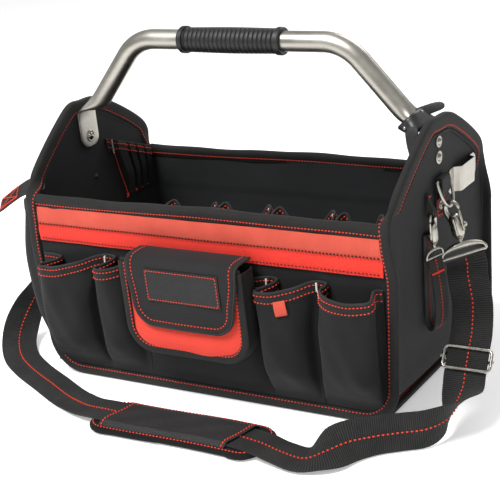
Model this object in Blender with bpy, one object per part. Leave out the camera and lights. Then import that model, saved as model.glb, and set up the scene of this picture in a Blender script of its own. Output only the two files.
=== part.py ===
"""Open garden tool bag: fabric tote on a stiff base, steel tube handle, pockets, hardware and shoulder strap.

Metres, +Z up, front towards -Y, length along X. The bag stands on z = 0 with its middle at the origin.
"""

import math

import bmesh
import bpy
from mathutils import Matrix, Vector

# Driving dimensions
GAP = 0.0003  # between pieces that touch on the real bag
WALL = 0.005  # padded panel thickness
HALF_LENGTH = 0.254  # outer face of an end panel at the floor
FLARE = 0.06  # an end panel leans out this much per metre of height
HALF_DEPTH = 0.145  # outer face of the front and back panels at the floor
LEAN = 0.029  # front and back panels lean in this much per metre of height
BOTTOM_THICK = 0.004
BOARD_THICK = 0.006
FRONT_TOP = 0.247
BACK_TOP = 0.235
STRAP_WIDTH = 0.050
STRAP_THICK = 0.0022
TAPE_WIDTH = 0.025
TAPE_THICK = 0.0018
TUBE_RADIUS = 0.0132
TUBE_WALL = 0.0015
HANDLE_TOP = 0.437  # centreline of the tube's level stretch
PIVOT_Z = 0.297  # handle rivets
FOOT_X = 0.2633  # middle of the flattened foot
CREASE_Z = 0.3352  # where the leg's outer wall meets the foot
LEG_ANGLE = math.radians(49)
LEG_UP = Vector((-math.cos(LEG_ANGLE), 0, math.sin(LEG_ANGLE)))
LEG_OUT = Vector((math.sin(LEG_ANGLE), 0, math.cos(LEG_ANGLE)))
SHANK = 0.0030
HOLE = 0.0031

# Outline of an end panel above the rims, as (y, z), from the front seam over the peak to the back seam
PEAK = [(-0.1377, 0.252), (-0.118, 0.285), (-0.036, 0.342), (0.0, 0.347)]
PEAK += [(0.048, 0.338), (0.128, 0.284), (0.1379, 0.245)]

COLOURS = {
    "black_fabric": ((0.022, 0.023, 0.025, 1), 0.9, 0.0),
    "binding": ((0.040, 0.038, 0.036, 1), 0.85, 0.0),
    "red_fabric": ((0.80, 0.055, 0.035, 1), 0.8, 0.0),
    "webbing": ((0.018, 0.018, 0.020, 1), 0.85, 0.0),
    "steel": ((0.56, 0.54, 0.49, 1), 0.35, 1.0),
    "nickel": ((0.60, 0.58, 0.52, 1), 0.25, 1.0),
    "rubber": ((0.012, 0.012, 0.013, 1), 0.6, 0.0),
    "leather": ((0.015, 0.015, 0.016, 1), 0.5, 0.0),
    "board": ((0.030, 0.030, 0.032, 1), 0.6, 0.0),
    "tape": ((0.016, 0.016, 0.017, 1), 0.95, 0.0),
}


# Shared tools


def make_material(name):
    colour, roughness, metallic = COLOURS[name]
    material = bpy.data.materials.new(name)
    material.use_nodes = True
    shader = material.node_tree.nodes["Principled BSDF"]
    shader.inputs["Base Color"].default_value = colour
    shader.inputs["Roughness"].default_value = roughness
    shader.inputs["Metallic"].default_value = metallic
    material.diffuse_color = colour
    return material


def add_mesh(name, points, faces, look):
    mesh = bpy.data.meshes.new(name)
    mesh.from_pydata([tuple(point) for point in points], [], faces)
    work = bmesh.new()
    work.from_mesh(mesh)
    bmesh.ops.recalc_face_normals(work, faces=work.faces)
    work.to_mesh(mesh)
    work.free()
    obj = bpy.data.objects.new(name, mesh)
    mesh.materials.append(make_material(look) if look not in bpy.data.materials else bpy.data.materials[look])
    bpy.context.scene.collection.objects.link(obj)
    return obj


def loft(name, rings, look, closed=False):
    """Skin through rings of equal count. An open run of rings gets a flat cap at each end."""
    count = len(rings[0])
    points = [point for ring in rings for point in ring]
    spans = len(rings) if closed else len(rings) - 1
    faces = []
    for i in range(spans):
        low, high = i * count, (i + 1) % len(rings) * count
        for j in range(count):
            k = (j + 1) % count
            faces.append((low + j, low + k, high + k, high + j))
    if not closed:
        faces.append(tuple(range(count)))
        faces.append(tuple(range((len(rings) - 1) * count, len(rings) * count)))
    return add_mesh(name, points, faces, look)


def box(name, low, high, look):
    (x0, y0, z0), (x1, y1, z1) = low, high
    return loft(name, [[(x0, y0, z), (x1, y0, z), (x1, y1, z), (x0, y1, z)] for z in (z0, z1)], look)


def directions(path, closed=False):
    """Unit direction of travel at each point of a path."""
    found = []
    for i, point in enumerate(path):
        before = path[i - 1] if i or closed else point
        after = path[(i + 1) % len(path)] if i + 1 < len(path) or closed else point
        found.append((Vector(after) - Vector(before)).normalized())
    return found


def tube(name, path, radius, look, across, closed=False, segments=8):
    """Round wire along a path that lies in one plane; across is that plane's normal."""
    across = Vector(across).normalized()
    rings = []
    for point, ahead in zip(path, directions(path, closed)):
        side = ahead.cross(across).normalized()
        turns = [2 * math.pi * j / segments for j in range(segments)]
        rings.append([Vector(point) + radius * (math.cos(a) * side + math.sin(a) * across) for a in turns])
    return loft(name, rings, look, closed)


def ribbon(name, stations, width, thick, look):
    """Flat strap through stations of (point, direction of its width)."""
    rings = []
    path = [Vector(point) for point, _ in stations]
    for (point, across), ahead in zip(stations, directions(path)):
        across = Vector(across)
        across = (across - across.dot(ahead) * ahead).normalized()
        up = ahead.cross(across)
        corners = ((-1, -1), (1, -1), (1, 1), (-1, 1))
        rings.append([Vector(point) + a * width / 2 * across + b * thick / 2 * up for a, b in corners])
    return loft(name, rings, look)


def lathe(name, profile, origin, axis, look, segments=20):
    """Solid of revolution: profile is (distance along axis, radius), and both ends are flat."""
    axis = Vector(axis).normalized()
    side = axis.orthogonal().normalized()
    other = axis.cross(side)
    turns = [2 * math.pi * j / segments for j in range(segments)]
    rings = [
        [Vector(origin) + along * axis + radius * (math.cos(a) * side + math.sin(a) * other) for a in turns]
        for along, radius in profile
    ]
    return loft(name, rings, look)


def helper(obj):
    obj.hide_render = True
    obj.display_type = "WIRE"
    return obj


def combine(obj, tool, operation):
    modifier = obj.modifiers.new(tool.name, "BOOLEAN")
    modifier.object = helper(tool)
    modifier.operation = operation
    modifier.solver = "EXACT"


def drill(obj, y, z, side, name):
    """Hole along X for a rivet's shank, through whatever lies beyond half the bag's length on one side."""
    low, high = sorted((side * 0.24, side * 0.30))
    cutter = lathe(name, [(low, HOLE), (high, HOLE)], (0, y, z), (1, 0, 0), "steel")
    combine(obj, cutter, "DIFFERENCE")


def smooth_path(points, pieces):
    """Catmull-Rom run through the points, with a number of pieces between each two."""
    points = [Vector(point) for point in points]
    ends = [2 * points[0] - points[1]] + points + [2 * points[-1] - points[-2]]
    path = []
    for a, b, c, d in zip(ends, ends[1:], ends[2:], ends[3:]):
        for i in range(pieces):
            t = i / pieces
            path.append(
                0.5 * (2 * b + t * (c - a) + t * t * (2 * a - 5 * b + 4 * c - d) + t**3 * (3 * b - a - 3 * c + d))
            )
    return path + [points[-1]]


def end_x(z):
    """Outer face of an end panel at a height."""
    return HALF_LENGTH + FLARE * z


def front_y(z):
    """Outer face of the front panel at a height. The back panel mirrors it."""
    return -HALF_DEPTH + LEAN * z


# Bag shell


def build_shell():
    low = BOTTOM_THICK + GAP
    half = end_x(0) - 0.001
    box("bottom_panel", (-half, -HALF_DEPTH, 0), (half, HALF_DEPTH, BOTTOM_THICK), "black_fabric")
    inner_x = end_x(low) - WALL - 3 * GAP
    inner_y = HALF_DEPTH - WALL - 3 * GAP
    top = low + BOARD_THICK
    box("base_board", (-inner_x, -inner_y, low), (inner_x, inner_y, top), "board")
    for name, side, top in (("front_panel", 1, FRONT_TOP), ("back_panel", -1, BACK_TOP)):
        rings = []
        for z in (low, top):
            x = end_x(z) - WALL - GAP
            rings.append([(u * x, side * (front_y(z) + v * WALL), z) for u, v in ((-1, 0), (1, 0), (1, 1), (-1, 1))])
        loft(name, rings, "black_fabric")
    outline = [(front_y(low), low)] + PEAK + [(-front_y(low), low)]
    for name, side in (("left_end_panel", -1), ("right_end_panel", 1)):
        faces = [[(side * (end_x(z) - inset), y, z) for y, z in outline] for inset in (0, WALL)]
        loft(name, faces, "black_fabric")


def edge_strip(name, path, place, near, far, low, high, look):
    """Tape along a plane path of (u, v), from near to far off the path's left side and from low to high in depth."""
    flat = [Vector((u, v, 0)) for u, v in path]
    rings = []
    for i, point in enumerate(flat):
        sides = []
        for a, b in ((i - 1, i), (i, i + 1)):
            if a >= 0 and b < len(flat):
                ahead = (flat[b] - flat[a]).normalized()
                sides.append(Vector((-ahead.y, ahead.x, 0)))
        mitre = sum(sides, Vector()) / len(sides)
        mitre /= mitre.length_squared
        corners = ((near, low), (far, low), (far, high), (near, high))
        rings.append([place(*(point + off * mitre).xy, depth) for off, depth in corners])
    return loft(name, rings, look)


def build_bindings():
    """Tapes over the raw edges, and the red band below the front rim."""
    rims = (("front_top_binding", 1, FRONT_TOP, 0.0046), ("back_top_binding", -1, BACK_TOP, 0.0038))
    for name, side, top, radius in rims:
        middle = side * (front_y(top) + WALL / 2)
        half = end_x(top) - WALL - 3 * GAP
        turns = [math.pi / 4 * (j + 0.5) for j in range(8)]
        centre = top + GAP + radius * math.cos(math.pi / 8)
        section = [(middle + radius * math.cos(a), centre + radius * math.sin(a)) for a in turns]
        rings = [[(x, y, z) for y, z in section] for x in (-half, half)]
        loft(name, rings, "binding")
    for name, side in (("left_end_binding", -1), ("right_end_binding", 1)):
        edge_strip(
            name, PEAK, lambda y, z, depth, s=side: (s * (end_x(z) + depth), y, z), GAP, 0.0025, -WALL - 0.001, 0.001, "binding"
        )
    corner = [(0.035 * (1 - math.sin(a)), 0.035 * (1 - math.cos(a))) for a in (0, math.pi / 6, math.pi / 3, math.pi / 2)]
    low, edge = 0.006, end_x(0) - WALL - 0.001
    left = [(-edge - 0.008, 0.190)] + [(-edge + u, low + v) for u, v in reversed(corner)]
    path = left + [(-u, v) for u, v in reversed(left)]
    edge_strip(
        "front_seam_binding", path, lambda x, z, depth: (x, front_y(z) - depth, z), 0, 0.008, GAP, 0.0021, "binding"
    )
    rings = []
    for z in (0.197, FRONT_TOP - 0.001):
        x = end_x(z) - WALL - 0.002
        near, far = front_y(z) - GAP, front_y(z) - GAP - 0.002
        rings.append([(-x, near, z), (x, near, z), (x, far, z), (-x, far, z)])
    loft("red_band", rings, "red_fabric")


# Pockets


def pocket_ring(x0, x1, z, near, depth, side, inset):
    """Plan outline of an open pocket at one height: flat back at y = near, bulging away to side."""
    corner = min(0.012, 0.4 * depth)
    back = near + side * inset
    front = near + side * (depth - inset)
    left, right = x0 + inset, x1 - inset
    middle = (left + right) / 2
    shoulder = front - side * corner
    lift = side * min(0.003, 0.1 * depth)
    return [
        (left, back, z),
        (left, shoulder, z),
        (left + corner, front, z),
        (middle, front + lift, z),
        (right - corner, front, z),
        (right, shoulder, z),
        (right, back, z),
    ]


def pocket(name, x0, x1, levels, back_of, side, look="black_fabric", thick=0.002):
    """Open-topped pocket. levels is (height, depth) from the bottom up, and back_of gives its back at a height."""
    outer = [pocket_ring(x0, x1, z, back_of(z), depth, side, 0) for z, depth in levels]
    floor = [(levels[0][0] + thick, levels[0][1])] + levels[1:]
    inner = [pocket_ring(x0, x1, z, back_of(z), depth, side, thick) for z, depth in floor]
    return loft(name, outer + inner[::-1], look)


FRONT_SEAMS = (-0.237, -0.162, -0.095, 0.095, 0.172, 0.237)
INNER_SEAMS = (-0.070, 0.010, 0.090, 0.180, 0.244)
SEAM_GAP = 0.0004


def build_pockets():
    deep = [(0.032, 0.013), (0.075, 0.026), (0.130, 0.032), (0.172, 0.033)]
    slim = [(0.032, 0.008), (0.100, 0.0095), (0.186, 0.0095)]
    for i, (x0, x1) in enumerate(zip(FRONT_SEAMS, FRONT_SEAMS[1:])):
        levels = slim if i == 2 else deep
        pocket(
            f"front_pocket_{i + 1}", x0 + SEAM_GAP, x1 - SEAM_GAP, levels, lambda z: front_y(z) - 2 * GAP, -1, thick=0.0018
        )
    inside = [(0.040, 0.016), (0.100, 0.028), (0.222, 0.034)]
    for i, (x0, x1) in enumerate(zip(INNER_SEAMS, INNER_SEAMS[1:])):
        pocket(f"inner_pocket_{i + 1}", x0 + SEAM_GAP, x1 - SEAM_GAP, inside, lambda z: front_y(z) + WALL + 2 * GAP, 1)
    back = [(0.020, 0.028), (0.050, 0.040), (0.110, 0.036), (0.155, 0.028)]
    pocket("back_pocket", -0.244, 0.244, back, lambda z: -front_y(z) + 2 * GAP, 1)


def build_end_pocket():
    """Pocket on the outside of the left end, near the front, with a stitched pull tab above it."""
    levels = [(0.035, 0.026), (0.080, 0.044), (0.150, 0.047), (0.220, 0.044)]
    thick = 0.002
    y0, y1 = -0.132, -0.036

    def ring(z, depth, inset):
        turned = pocket_ring(y0, y1, z, end_x(z) + 2 * GAP, depth, 1, inset)
        return [(-x, y, z) for y, x, z in turned]

    outer = [ring(z, depth, 0) for z, depth in levels]
    floor = [(levels[0][0] + thick, levels[0][1])] + levels[1:]
    inner = [ring(z, depth, thick) for z, depth in floor]
    loft("left_end_pocket", outer + inner[::-1], "black_fabric")
    tab = [((-0.2715, -0.112, 0.256), (0, 1, 0)), ((-0.300, -0.114, 0.250), (0, 1, 0))]
    tab.append(((-0.343, -0.118, 0.226), (0, 1, 0)))
    ribbon("left_pull_tab", tab, TAPE_WIDTH, 0.0032, "webbing")


def build_tool_loops():
    """Four driver pockets inside the left end, stepping down with the end panel's back slope."""
    cells, pitch, start = 4, 0.0205, 0.042
    depth, thick, low = 0.014, 0.0018, 0.186
    outline = [(start, low), (start + cells * pitch, low), (start + cells * pitch, 0.226), (start, 0.283)]
    faces = [[(-(end_x(z) - WALL - 2 * GAP) + reach, y, z) for y, z in outline] for reach in (0, depth)]
    block = loft("tool_loops", faces, "black_fabric")
    for i in range(cells):
        y0 = start + i * pitch + thick / 2
        y1 = y0 + pitch - thick
        rings = []
        for z in (low + 0.003, 0.300):
            x = -(end_x(z) - WALL - 2 * GAP)
            x0, x1 = x + thick, x + depth - thick
            rings.append([(x0, y0, z), (x1, y0, z), (x1, y1, z), (x0, y1, z)])
        combine(block, loft(f"tool_loop_cut_{i + 1}", rings, "black_fabric"), "DIFFERENCE")


POUCH_BACK = -0.1562
POUCH_DEPTH = 0.0273
FLAP_HINGE = (-0.1500, 0.2040)


def pouch_ring(half, z, front, inset):
    near, far = POUCH_BACK - inset, front + inset
    side = half - inset
    return [
        (-side, near, z),
        (-side, far + 0.008, z),
        (-side + 0.008, far, z),
        (side - 0.008, far, z),
        (side, far + 0.008, z),
        (side, near, z),
    ]


def build_pouch():
    """Flap pouch on the middle of the front: body, flap, blank badge and the closing tapes."""
    front = POUCH_BACK - POUCH_DEPTH
    levels = [
        (0.064, 0.070, front + 0.010),
        (0.079, 0.079, front + 0.003),
        (0.085, 0.095, front),
        (0.086, 0.194, front),
    ]
    thick = 0.002
    outer = [pouch_ring(half, z, reach, 0) for half, z, reach in levels]
    floor = [(levels[0][0], levels[0][1] + thick, levels[0][2])] + levels[1:]
    inner = [pouch_ring(half, z, reach, thick) for half, z, reach in floor]
    loft("flap_pouch", outer + inner[::-1], "red_fabric")

    thin = 0.0022
    profile = [
        (-0.1485, 0.2040, 0.083),
        (-0.1780, 0.2045, 0.083),
        (-0.1862, 0.2000, 0.083),
        (-0.1884, 0.1920, 0.082),
        (-0.1888, 0.1400, 0.077),
        (-0.1889, 0.1240, 0.072),
        (-0.1890, 0.1130, 0.058),
    ]
    path = [Vector((0, y, z)) for y, z, _ in profile]
    rings = []
    for (y, z, half), ahead in zip(profile, directions(path)):
        up = Vector((0, -ahead.z, ahead.y)) * (thin / 2)
        middle = Vector((0, y, z))
        rings.append([middle + up + Vector((s * half, 0, 0)) for s in (-1, 1)])
        rings[-1] += [middle - up + Vector((s * half, 0, 0)) for s in (1, -1)]
    flap = [loft("pouch_flap", rings, "black_fabric")]
    flap.append(box("flap_badge", (-0.054, -0.1914, 0.147), (0.054, -0.1904, 0.187), "rubber"))
    flap.append(box("flap_hook_tape", (-0.030, -0.1872, 0.124), (0.030, -0.1860, 0.144), "tape"))
    box("pouch_loop_tape", (-0.030, -0.1850, 0.120), (0.030, -0.1838, 0.148), "tape")
    box("red_loop_tag", (0.124, -0.1800, 0.134), (0.146, -0.1776, 0.157), "red_fabric")
    hang_on("flap_hinge", (0, *FLAP_HINGE), flap)


def hang_on(name, point, pieces):
    """Puts moving pieces under an empty that stands on their joint's axis."""
    pivot = bpy.data.objects.new(name, None)
    pivot.location = point
    bpy.context.scene.collection.objects.link(pivot)
    for piece in pieces:
        piece.parent = pivot
        piece.matrix_parent_inverse = Matrix.Translation(-Vector(point))


# Handle


def handle_stations():
    """(x, z, half width along Y, half thickness) down the right half of the handle, from the middle of the grip."""
    bend, r = 0.065, TUBE_RADIUS
    reach = bend * math.tan(LEG_ANGLE / 2)
    corner_x = FOOT_X - r * LEG_OUT.x - (HANDLE_TOP - CREASE_Z + r * LEG_OUT.z) / math.tan(LEG_ANGLE)
    run = [(0.0, HANDLE_TOP, r, r), (corner_x - reach, HANDLE_TOP, r, r)]
    for i in range(1, 6):
        a = LEG_ANGLE * i / 6
        run.append((corner_x - reach + bend * math.sin(a), HANDLE_TOP - bend * (1 - math.cos(a)), r, r))
    crushed = [(0.090, r, r), (0.036, r, r), (0.028, 0.0144, 0.0116)]
    crushed += [(0.019, 0.0166, 0.0080), (0.011, 0.0188, 0.0040)]
    for back, wide, thick in crushed:
        # The outer wall runs straight down to the crease and the inner one closes on it.
        centre = leg_point(back, -thick)
        run.append((centre.x, centre.z, wide, thick))
    foot = [(0.2612, 0.3366, 0.0195), (0.2633, 0.3305, 0.0195), (FOOT_X, 0.2900, 0.0195), (FOOT_X, 0.2830, 0.0120)]
    for x, z, wide in foot:
        run.append((x, z, wide, 0.0017))
    return run


def leg_point(back, out):
    """Point on the right leg: back up it from the crease, and out from its outer wall."""
    return Vector((FOOT_X, 0, CREASE_Z)) + back * LEG_UP + out * LEG_OUT


def build_handle():
    right = handle_stations()
    stations = [(-x, z, wide, thick) for x, z, wide, thick in right[:0:-1]] + right
    path = [Vector((x, 0, z)) for x, z, _, _ in stations]
    segments = 16

    def rings_of(inset):
        rings = []
        for point, ahead, (_, _, wide, thick) in zip(path, directions(path), stations):
            up = Vector((-ahead.z, 0, ahead.x))
            flat = 1 - 0.55 * (1 - thick / wide)
            ring = []
            for j in range(segments):
                a = 2 * math.pi * (j + 0.5) / segments
                u = math.copysign(abs(math.cos(a)) ** flat, math.cos(a)) * (wide - inset)
                v = math.copysign(abs(math.sin(a)) ** flat, math.sin(a)) * (thick - inset)
                ring.append(point + Vector((0, u, 0)) + v * up)
            rings.append(ring)
        return rings

    bar = loft("handle_tube", rings_of(0) + rings_of(TUBE_WALL)[::-1], "steel", closed=True)
    drill(bar, 0, PIVOT_Z, 1, "handle_hole_right")
    drill(bar, 0, PIVOT_Z, -1, "handle_hole_left")

    middle, half, bore, plain, flared = -0.0055, 0.077, TUBE_RADIUS + GAP, 0.0162, 0.0178
    profile = [(-half, flared), (0.008 - half, flared), (0.010 - half, plain), (half - 0.010, plain)]
    profile += [(half - 0.008, flared), (half, flared), (half, bore), (-half, bore)]
    turns = [2 * math.pi * j / 20 for j in range(20)]
    rings = []
    for x, r in profile:
        rings.append([(middle + x, r * math.cos(a), HANDLE_TOP + r * math.sin(a)) for a in turns])
    grip = loft("handle_grip", rings, "rubber", closed=True)

    # Keeper cuff around the crushed foot of the right leg
    outer, inner = [], []
    for back, wide, thick in ((0.0045, 0.0290, 0.0090), (0.0120, 0.0265, 0.0130), (0.0230, 0.0225, 0.0168)):
        centre = leg_point(back, 0.0034 - thick)
        for part, shrink in ((outer, 0), (inner, 0.0021)):
            ring = []
            for j in range(segments):
                a = 2 * math.pi * (j + 0.5) / segments
                beside = math.copysign(abs(math.cos(a)) ** 0.7, math.cos(a)) * (wide - shrink)
                out = math.copysign(abs(math.sin(a)) ** 0.7, math.sin(a)) * (thick - shrink)
                ring.append(centre + Vector((0, beside, 0)) + out * LEG_OUT)
            part.append(ring)
    cuff = loft("handle_cuff", outer + inner[::-1], "leather", closed=True)
    hang_on("handle_pivot", (0, 0, PIVOT_Z), [bar, grip, cuff])


def dome(start, end, radius):
    """Profile of a low domed head from its crown at start to its rim at end."""
    run = end - start
    return [(start, 0.25 * radius), (start + 0.3 * run, 0.7 * radius), (start + 0.75 * run, radius), (end, radius)]


def rivet(name, side, y, z, outer, inner, shank, head, look="nickel", extra=()):
    """Rivet along X. outer and inner are where the heads' undersides lie, as distances from the middle of the bag."""
    profile = dome(outer + 0.0030, outer, head) + [(outer, shank), *extra, (inner, shank)]
    profile += [(inner, head), (inner - 0.0008, head), (inner - 0.0020, 0.5 * head)]
    return lathe(name, profile, (0, y, z), (side, 0, 0), look, 16)


def build_handle_rivets():
    plate_out = FOOT_X + 0.0017
    plate_in = FOOT_X - 0.0017
    collar = (plate_out + GAP, plate_out + GAP + 0.0008)
    for name, side in (("left_handle_rivet", -1), ("right_handle_rivet", 1)):
        extra = [(collar[1], SHANK), (collar[1], 0.0055), (collar[0], 0.0055), (collar[0], SHANK)]
        rivet(name, side, 0, PIVOT_Z, end_x(PIVOT_Z) + 0.0009, plate_in - GAP, SHANK, 0.0078, extra=extra)
        panel = bpy.data.objects["left_end_panel" if side < 0 else "right_end_panel"]
        drill(panel, 0, PIVOT_Z, side, name + "_hole")
    z = PIVOT_Z + 0.020
    rivet("keeper_rivet", 1, 0, z, end_x(z) + 0.0009, end_x(z) - WALL - 0.0006, 0.0026, 0.0065)
    drill(bpy.data.objects["right_end_panel"], 0, z, 1, "keeper_rivet_hole")


# Hardware on the ends

RING_BAR_Z = 0.270
RING_WIRE = 0.0020


def build_ring_set(side_name, side):
    """Webbing tab, its rivet and the D-ring on one end."""
    bar_x = end_x(RING_BAR_Z) + 0.0013 + 0.0040
    path = [(end_x(z) + 0.0013, z) for z in (0.224, 0.245, 0.264)]
    for i in range(1, 6):
        a = math.pi * (1 - i / 6)
        path.append((bar_x + 0.0040 * math.cos(a), RING_BAR_Z + 0.0040 * math.sin(a)))
    path += [(bar_x + 0.0040, 0.264), (bar_x + 0.0022, 0.252)]
    tab = ribbon(f"{side_name}_ring_tab", [((side * x, 0, z), (0, 1, 0)) for x, z in path], 0.025, 0.0016, "webbing")
    z = 0.236
    drill(tab, 0, z, side, f"{side_name}_ring_tab_hole")
    drill(bpy.data.objects[f"{side_name}_end_panel"], 0, z, side, f"{side_name}_ring_rivet_hole")
    rivet(f"{side_name}_ring_rivet", side, 0, z, end_x(z) + 0.0013 + 0.0012, end_x(z) - WALL - 0.0006, 0.0026, 0.0050)

    half, drop, out = 0.0175, 0.034, 0.0080
    top = Vector((side * bar_x, 0, RING_BAR_Z))
    down = Vector((side * out, 0, -drop))
    loop = [top + Vector((0, y, 0)) for y in (-half, 0, half)]
    for i in range(1, 12):
        a = math.pi * i / 12
        loop.append(top + Vector((0, half * math.cos(a) * (1 + 0.08 * math.sin(a)), 0)) + down * math.sin(a) ** 0.8)
    tube(f"{side_name}_d_ring", loop, RING_WIRE, "nickel", down.cross(Vector((0, 1, 0))), closed=True)
    return top + down


def snap_hook(prefix, origin, up, plane, eye_along, eye_half, size):
    """Snap hook: body with hook, sliding gate beside the barrel, and swivel eye.

    The hook's curve is centred on origin in the plane of up and plane, with the gate on the plane side.
    Returns the middle of the eye's bar, the way down from it and the direction along it.
    """
    w = Vector(up).normalized()
    u = Vector(plane)
    u = (u - u.dot(w) * w).normalized()
    v = w.cross(u)
    origin = Vector(origin)

    def at(a, b, c=0.0):
        return origin + size * (a * u + c * v + b * w)

    bend = 0.0088
    rod = [at(-0.0040, -0.0200), at(-0.0065, -0.0120), at(-bend, -0.0060), at(-bend, 0)]
    for i in range(1, 9):
        a = math.pi - i * math.radians(24)
        rod.append(at(bend * math.cos(a), bend * math.sin(a)))
    body = tube(f"{prefix}_body", rod, 0.0024 * size, "nickel", v)
    ring = ((-1, -0.5), (-0.6, -1), (0.6, -1), (1, -0.5), (1, 0.5), (0.6, 1), (-0.6, 1), (-1, 0.5))
    sections = ((-0.0380, 0.0045), (-0.0350, 0.0062), (-0.0150, 0.0062), (-0.0120, 0.0048))
    barrel = loft(f"{prefix}_barrel", [[at(a * r, b, c * 0.8 * r) for a, c in ring] for b, r in sections], "nickel")
    combine(body, barrel, "UNION")

    bolt_u = 0.0088
    bolt = tube(f"{prefix}_gate", [at(bolt_u, b) for b in (-0.0300, -0.0160, -0.0027)], 0.0017 * size, "nickel", v)
    shape = ((bolt_u, -0.0250), (0.0140, -0.0235), (0.0140, -0.0205), (bolt_u, -0.0190))
    nub = [[at(a, b, c) for a, b in shape] for c in (-0.0026, 0.0026)]
    combine(bolt, loft(f"{prefix}_nub", nub, "nickel"), "UNION")

    e = Vector(eye_along)
    e = (e - e.dot(w) * w).normalized()
    bar, arch = -0.0600, 0.0125
    loop = [at(0, bar) + s * eye_half * e for s in (-1, 0, 1)]
    for i in range(1, 10):
        a = math.pi * i / 10
        loop.append(at(0, bar + arch * math.sin(a) ** 0.7) + eye_half * math.cos(a) * e)
    eye = tube(f"{prefix}_eye", loop, 0.0022 * size, "nickel", e.cross(w), closed=True)
    profile = [(-0.0383, 0.0030), (-0.0400, 0.0030), (-0.0415, 0.0024), (-0.0480, 0.0024)]
    stem = lathe(f"{prefix}_stem", profile, (0, 0, 0), (0, 0, 1), "nickel", 12)
    turn = w.to_track_quat("Z", "Y").to_matrix().to_4x4()
    stem.matrix_world = Matrix.Translation(origin) @ turn @ Matrix.Scale(size, 4)
    combine(eye, stem, "UNION")
    hang_on(f"{prefix}_gate_slide", at(bolt_u, -0.0027), [bolt])
    return at(0, bar), -w, e


HOOK_UP = (-0.22, 0.0, 0.975)
HOOK_DROP = 0.0040  # from the D-ring's lowest wire to the middle of the hook's curve
FACING = (0.83, 0.56, 0)  # direction of the shoulder strap's width where it hangs on the right


def build_hooks():
    bars = []
    for side_name, side, along in (("right", 1, FACING), ("left", -1, (0, 1, 0))):
        low = build_ring_set(side_name, side)
        up = Vector((side * HOOK_UP[0], HOOK_UP[1], HOOK_UP[2])).normalized()
        start = low - HOOK_DROP * up
        bars.append(snap_hook(f"{side_name}_hook", start, up, (side, 0, 0), along, STRAP_WIDTH / 2 + 0.0035, 1.0))
    return bars


TAPE_Y = -0.037


def build_tape_strap():
    """Narrow strap that holds tape rolls: small tab, snap hook and webbing loop on the right end."""
    centre_x, centre_z, radius = 0.2752, 0.2362, 0.0048
    path = [(end_x(0.258) + 0.0010, 0.258), (centre_x - radius, 0.2400)]
    for i in range(1, 6):
        a = math.pi * (1 + i / 6)
        path.append((centre_x + radius * math.cos(a), centre_z + radius * math.sin(a)))
    path += [(centre_x + radius, 0.2400), (end_x(0.258) + 0.0034, 0.258)]
    ribbon("tape_tab", [((x, TAPE_Y, z), (0, 1, 0)) for x, z in path], 0.0080, 0.0014, "webbing")
    size = 0.8
    origin = (centre_x, TAPE_Y, centre_z + 0.0008 - 0.0088 * size)
    bar, _, _ = snap_hook("tape_hook", origin, (0, 0, 1), (0, -1, 0), (0.30, 0.95, 0), TAPE_WIDTH / 2 + 0.0022, size)
    front, back = (0.30, 0.95, 0), (0, 1, 0)
    start = bar - Vector((0, 0, 0.0022 * size + GAP + 0.0002))
    route = [
        (start, front),
        ((0.2790, TAPE_Y, 0.150), front),
        ((0.2800, TAPE_Y, 0.115), front),
        ((0.2770, TAPE_Y, 0.0935), (0.3, 0.95, 0)),
        ((0.2700, TAPE_Y, 0.0875), (0.2, 0.98, 0)),
        ((0.2640, TAPE_Y, 0.0960), (0.1, 0.99, 0)),
        ((end_x(0.125) + 0.0020, TAPE_Y, 0.125), back),
        ((end_x(0.175) + 0.0016, TAPE_Y, 0.175), back),
        ((end_x(0.212) + 0.0016, TAPE_Y, 0.212), back),
    ]
    path = smooth_path([point for point, _ in route], 4)
    widths = smooth_path([across for _, across in route], 4)
    ribbon("tape_strap", list(zip(path, widths)), TAPE_WIDTH, TAPE_THICK, "webbing")


def build_tape_clip():
    """Bent steel clip for a tape measure, riveted at both ends."""
    thick, low, high = 0.0012, 0.239, 0.271
    profile = [(0.026, 0), (0.043, 0), (0.047, 0.0077), (0.052, 0.0085), (0.086, 0.0085), (0.091, 0), (0.110, 0)]
    rings = []
    for i, (y, rise) in enumerate(profile):
        ring = []
        for z, layer in ((low, 0), (high, 0), (high, 1), (low, 1)):
            shift = 0.0006 * (1 if rise else 0) * (-1 if i < 4 else 1) * layer
            ring.append((end_x(z) + GAP + rise + layer * thick, y + shift, z))
        rings.append(ring)
    clip = loft("tape_clip", rings, "steel")
    panel = bpy.data.objects["right_end_panel"]
    for name, y in (("tape_clip_rivet_front", 0.0345), ("tape_clip_rivet_back", 0.1005)):
        z = 0.255
        drill(clip, y, z, 1, name + "_clip_hole")
        drill(panel, y, z, 1, name + "_hole")
        rivet(name, 1, y, z, end_x(z) + GAP + thick + 0.0007, end_x(z) - WALL - 0.0006, 0.0026, 0.0050)


# Shoulder strap

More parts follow.
